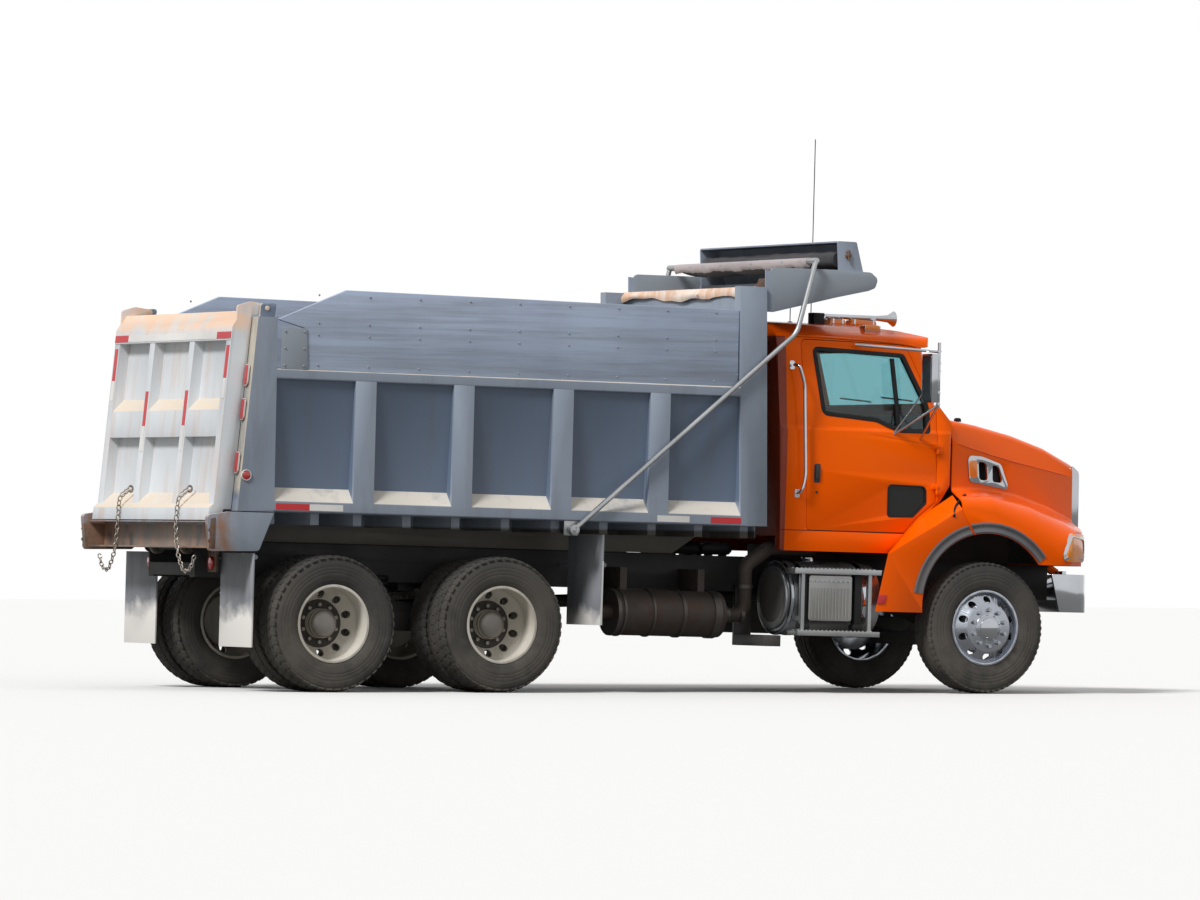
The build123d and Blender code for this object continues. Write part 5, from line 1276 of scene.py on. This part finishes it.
def cushion(name, corners, y, half, swell):
    # A closed form from an outline, crowned between its seams
    work = bmesh.new()
    addSlab(work, corners, sideAt(y - half), sideAt(y + half))
    bmesh.ops.recalc_face_normals(work, faces=work.faces)
    bmesh.ops.subdivide_edges(work, edges=work.edges, cuts=5, use_grid_fill=True)
    centre = sum((vert.co for vert in work.verts), Vector()) / len(work.verts)
    size = [max(abs((vert.co - centre)[axis]) for vert in work.verts) for axis in range(3)]
    for vert in work.verts:
        away = vert.co - centre
        shares = [min(abs(away[axis]) / size[axis], 1.0) for axis in range(3)]
        room = sorted(1 - share * share for share in shares)
        vert.co += vert.normal * (swell * room[1] * room[2])
    mesh = bpy.data.meshes.new(name + "_mesh")
    work.to_mesh(mesh)
    work.free()
    piece = asPiece(name, mesh, "chassis", "cloth")
    edges = piece.modifiers.new("edges", "BEVEL")
    edges.width, edges.segments, edges.limit_method = 0.02, 3, "ANGLE"
    rounder = piece.modifiers.new("round", "SUBSURF")
    rounder.levels = rounder.render_levels = 1
    applied(piece)
    smoothed(piece.data, 60)


for name, side in sides:
    y = side * seatTrim["y"]
    for part in ("base", "back"):
        cushion("seat_%s_%s" % (part, name), seatTrim[part], y, seatTrim[part + "Half"],
                seatTrim[part + "Swell"])
    box = bmesh.new()
    addBox(box, *seatTrim["boxXs"], y - seatTrim["boxHalf"], y + seatTrim["boxHalf"], *seatTrim["boxZs"])
    pieceOf("seat_box_" + name, box, "chassis", "trim", edge=0.008,
            nodes=("seats",) if side > 0 else ())
print("cab inside dressed")

# Cab guard: its side plates with rounded corners, the torn lip on the front wall, small brackets
guardTrim = {
    "plate": [(3006, 2990, 4), (2972, 3180, 4), (2964, 3322, 44), (3560, 3326, 8), (3860, 3318, 50),
              (3925, 3268, 40), (3900, 3196, 40), (3840, 3172, 20)], "plateYs": (1160.5, 1175),
    "crankX": 3655, "crankY": 1162, "bracket": [(-1130, 3150), (-1130, 3236), (-1010, 3236), (-960, 3160),
                                                (-960, 3150)],
    "wallTop": 3165, "lipHalf": 1135, "lipDeep": 74, "lipThick": 0.004, "columns": 90, "rows": 6,
}
for name, side in sides:
    near, far = guardTrim["plateYs"]
    slabPiece("guard_plate_" + name, rounded(guardTrim["plate"]), sideAt(side * near), sideAt(side * far),
              "bed", "bedLight", 0.002)
    crank = bmesh.new()
    for z, reach in ((3470, 0.016), (3440, 0.024)):
        addTurned(crank, [(0.0, reach), (0.012, reach), (0.018, reach * 0.6), (0.02, 0.0)],
                  level(guardTrim["crankX"], side * guardTrim["crankY"], z), (0, side, 0), 20, False)
    addTube(crank, [level(guardTrim["crankX"], side * 1180, z) for z in (3400, 3475)], 0.008, 10)
    pieceOf("roller_crank_" + name, crank, "bed", "rustySteel")


def onWall(y, z, proud):
    # The front wall's face as it is met from inside the bed
    hit = skinOf("bed_front").ray_cast(level(1500, y, z), forward)
    return hit[0] - Vector((proud / 1000, 0, 0))


lip, grid = bmesh.new(), []
columns, rows = guardTrim["columns"], guardTrim["rows"]
for i in range(columns + 1):
    y = -guardTrim["lipHalf"] + 2 * guardTrim["lipHalf"] * i / columns
    tear = 20 * math.sin(0.0052 * y + 0.8) + 34 * max(0, 1 - abs(y + 380) / 210) + 5 * math.sin(0.019 * y)
    curl = 12 * math.sin(0.006 * y + 2)
    row = []
    for j in range(rows + 1):
        t = j / rows
        z = guardTrim["wallTop"] + 6 - t * (guardTrim["lipDeep"] + tear)
        proud = 6 + (20 + curl) * math.sin(math.pi * t * 0.8) + 6 * t
        point = onWall(y * 0.93, min(z, guardTrim["wallTop"] - 30),
                       proud)  # met well inside the wall's edges
        point.y, point.z = y / 1000, level(2900, 0, z).z
        row.append(lip.verts.new(point))
    grid.append(row)
for first, second in zip(grid, grid[1:]):
    for j in range(rows):
        lip.faces.new((first[j], first[j + 1], second[j + 1], second[j]))
thickened(pieceOf("wall_lip", lip, "bed", "lipRust", degrees=50), guardTrim["lipThick"], 50)
slabPiece("guard_bracket", guardTrim["bracket"], backAt(2952), backAt(2960), "bed", "rustySteel",
          0.002)

# Between bed and chassis: the strips that the bed's sills rest on, air tanks, and a dark plate behind the
# silencer, painted shade that closes the gap above it
underTrim = {
    "strip": (-1500, 2560, 366, 424, 1070, 1080), "tanks": ((2590, 2900), (2915, 3185)), "tankY": 215,
    "tankZ": 1128,
    "shadePlate": (1890, 2960, -445, -437, 690, 800),
}
strip, tanks, shadePlate = bmesh.new(), bmesh.new(), bmesh.new()
x0, x1, y0, y1, z0, z1 = underTrim["strip"]
for side in (1, -1):
    addBox(strip, x0, x1, side * y0, side * y1, z0, z1)
pieceOf("sill_strips", strip, "chassis", "rubber")
for side in (1, -1):
    y = side * underTrim["tankY"]
    for x0, x1 in underTrim["tanks"]:
        long = (x1 - x0) / 1000
        addTurned(tanks, [(0.0, 0.0), (0.004, 0.03), (0.02, 0.043), (0.04, 0.047), (long - 0.04, 0.047),
                          (long - 0.02, 0.043), (long - 0.004, 0.03), (long, 0.0)],
                  level(x0, y, underTrim["tankZ"]), forward, 32, False)
        for x in (x0 + 60, x1 - 85):
            addBox(tanks, x, x + 25, side * 165, side * 265, 1066, 1084)
    addTube(tanks, bent([level(2600, y, 1178), level(2600, side * 120, 1178), level(3150, side * 120, 1168)],
                        0.05), 0.012, 10)
pieceOf("air_tanks", tanks, "chassis", "frameBlack")
# painted shade: a dark plate where only shade lies behind the silencer
addBox(shadePlate, *underTrim["shadePlate"])
pieceOf("silencer_shade_plate", shadePlate, "chassis", "frameBlack", edge=0.003)

# Rear beam: rusty end plates with their scalloped edge, and lamps between the flaps
rearTrim = {
    "plate": [(-1786, 1010), (-1786, 1050), (-1800, 1068), (-1786, 1088), (-1786, 1130), (-1802, 1150),
              (-1786, 1172), (-1782, 1236), (-1740, 1244), (-1740, 1010)], "plateShift": 25,
    "plateYs": (1190, 1203), "lampX": -1452, "lamps": ((-560, 905), (560, 905)),
}
outline = [(x + rearTrim["plateShift"], z) for x, z in rearTrim["plate"]]
for name, side in sides:
    near, far = rearTrim["plateYs"]
    slabPiece("beam_end_" + name, outline, sideAt(side * near), sideAt(side * far), "bed", "rustySteel",
              0.002)
lamps, brackets = bmesh.new(), bmesh.new()
for y, z in rearTrim["lamps"]:
    addTurned(lamps, [(0.0, 0.05), (0.012, 0.05), (0.02, 0.044), (0.024, 0.02), (0.025, 0.0)],
              level(rearTrim["lampX"], y, z), (-1, 0, 0), 28, False)
    addBox(brackets, -1450, -1425, y - 75, y + 75, z - 70, z + 160)
pieceOf("frame_lamps", lamps, "chassis", "redLens")
pieceOf("frame_lamp_brackets", brackets, "chassis", "rustySteel", edge=0.004)
print("guard and rear dressed")

# Bezels round the head lamps
bezelTrim = {
    "outer": [(5672, 1104, 26), (5662, 1160, 30), (5732, 1326, 46), (6010, 1300, 60), (6040, 1150, 60),
              (6000, 1112, 40)],
    "inner": [(5700, 1128, 22), (5694, 1160, 24), (5752, 1300, 38), (5985, 1278, 50), (6012, 1152, 50),
              (5982, 1134, 30)],
    "section": (("outer", -6), ("outer", 7), ("inner", 9), ("inner", -4)),
}
for name, side in sides:
    bezel = bmesh.new()
    joinRings(bezel, [[bezel.verts.new(onSkin(("headlamps", "hood"), side, a, b, proud))
                       for a, b in rounded(bezelTrim[part])] for part, proud in bezelTrim["section"]])
    pieceOf("lamp_bezel_" + name, bezel, "hood", "chrome", degrees=40)
print("lamps dressed")


# Windscreen wipers and tow hooks

def onScreen(y, z, proud):
    # The windscreen's face as it is met from ahead
    hit = skinOf("cab_glass").ray_cast(level(5600, y, z), heading(-1, 0))
    return hit[0] + hit[1] * (proud / 1000 if hit[1].x > 0 else -proud / 1000)


wipers = bmesh.new()
for y in (-560, 120):
    arm = [onScreen(y, 2336, 16), onScreen(y + 130, 2348, 20), onScreen(y + 250, 2356, 15)]
    addTube(wipers, arm, 0.006, 8)
    blade = [onScreen(y + 250 + t * 210, 2358 + t * 14, 10) for t in (-1.1, -0.5, 0, 0.5, 1.1)]
    addTube(wipers, blade, 0.0065, 8)
pieceOf("wipers", wipers, "chassis", "rubber")
hooks = bmesh.new()
for side in (1, -1):
    addTube(hooks, bent([level(6085, side * 470, 812), level(6170, side * 470, 812),
                         level(6170, side * 470, 872), level(6090, side * 470, 872)], 0.028), 0.012, 12)
pieceOf("tow_hooks", hooks, "chassis", "rubber")


# Floor, light and camera
stage = {
    "floorSize": 160.0, "floorTone": (0.80, 0.80, 0.79, 1), "floorBounce": (0.22, 0.22, 0.21, 1),
    "ambient": 0.5, "keyStrength": 3.0, "keySoftness": 14, "keyFrom": (-0.80, -0.36, 0.85),
}


def makeStage():
    half = stage["floorSize"] / 2
    mesh = bpy.data.meshes.new("floor_mesh")
    mesh.from_pydata([(-half, -half, 0), (half, -half, 0), (half, half, 0), (-half, half, 0)], [],
                     [(0, 1, 2, 3)])
    floor = linked("floor", mesh)
    material, tree, shader = startMaterial("floor_pale")
    seen = addNode(tree, "ShaderNodeLightPath").outputs["Is Camera Ray"]
    feed(tree, shader, (("Roughness", 0.9),
                        ("Base Color", mixColour(tree, seen, stage["floorBounce"], stage["floorTone"]))))
    mesh.materials.append(material)

    world = bpy.data.worlds.new("studio")
    bpy.context.scene.world = world
    world.use_nodes = True
    tree = world.node_tree
    rays = addNode(tree, "ShaderNodeLightPath").outputs
    seen = mathOf(tree, "MAXIMUM", rays["Is Camera Ray"], rays["Is Glossy Ray"])
    seen = mathOf(tree, "MAXIMUM", seen, rays["Is Transmission Ray"])
    feed(tree, tree.nodes["Background"], (("Color", (1, 1, 1, 1)),
                                          ("Strength", rangeOf(tree, seen, 0, 1, stage["ambient"], 1.0))))

    key = linked("key_light", bpy.data.lights.new("key_light", "SUN"))
    key.data.energy = stage["keyStrength"]
    key.data.angle = math.radians(stage["keySoftness"])
    key.rotation_mode = "QUATERNION"
    key.rotation_quaternion = Vector(stage["keyFrom"]).to_track_quat("Z", "Y")
    bpy.context.scene.view_settings.view_transform = "Standard"


# The photograph's camera: far behind the truck on its right, with a long lens
cameraPlace = {
    "from": (-27520.3, -58362.7, 1174.1), "forward": (0.45293, 0.89148, 0.01085), "roll": 0.663,
    "lens": 250.08,
}


def makeCamera():
    camera = linked("camera", bpy.data.cameras.new("camera"))
    camera.data.lens = cameraPlace["lens"]
    camera.data.sensor_width = 36
    camera.data.clip_end = 600
    camera.location = ground(*cameraPlace["from"])
    turn = Vector(cameraPlace["forward"]).to_track_quat("-Z", "Y").to_matrix()
    camera.rotation_mode = "QUATERNION"
    roll = Matrix.Rotation(math.radians(cameraPlace["roll"]), 3, "Z")
    camera.rotation_quaternion = (turn @ roll).to_quaternion()
    bpy.context.scene.camera = camera


makeStage()
makeCamera()
print("stage and camera set")
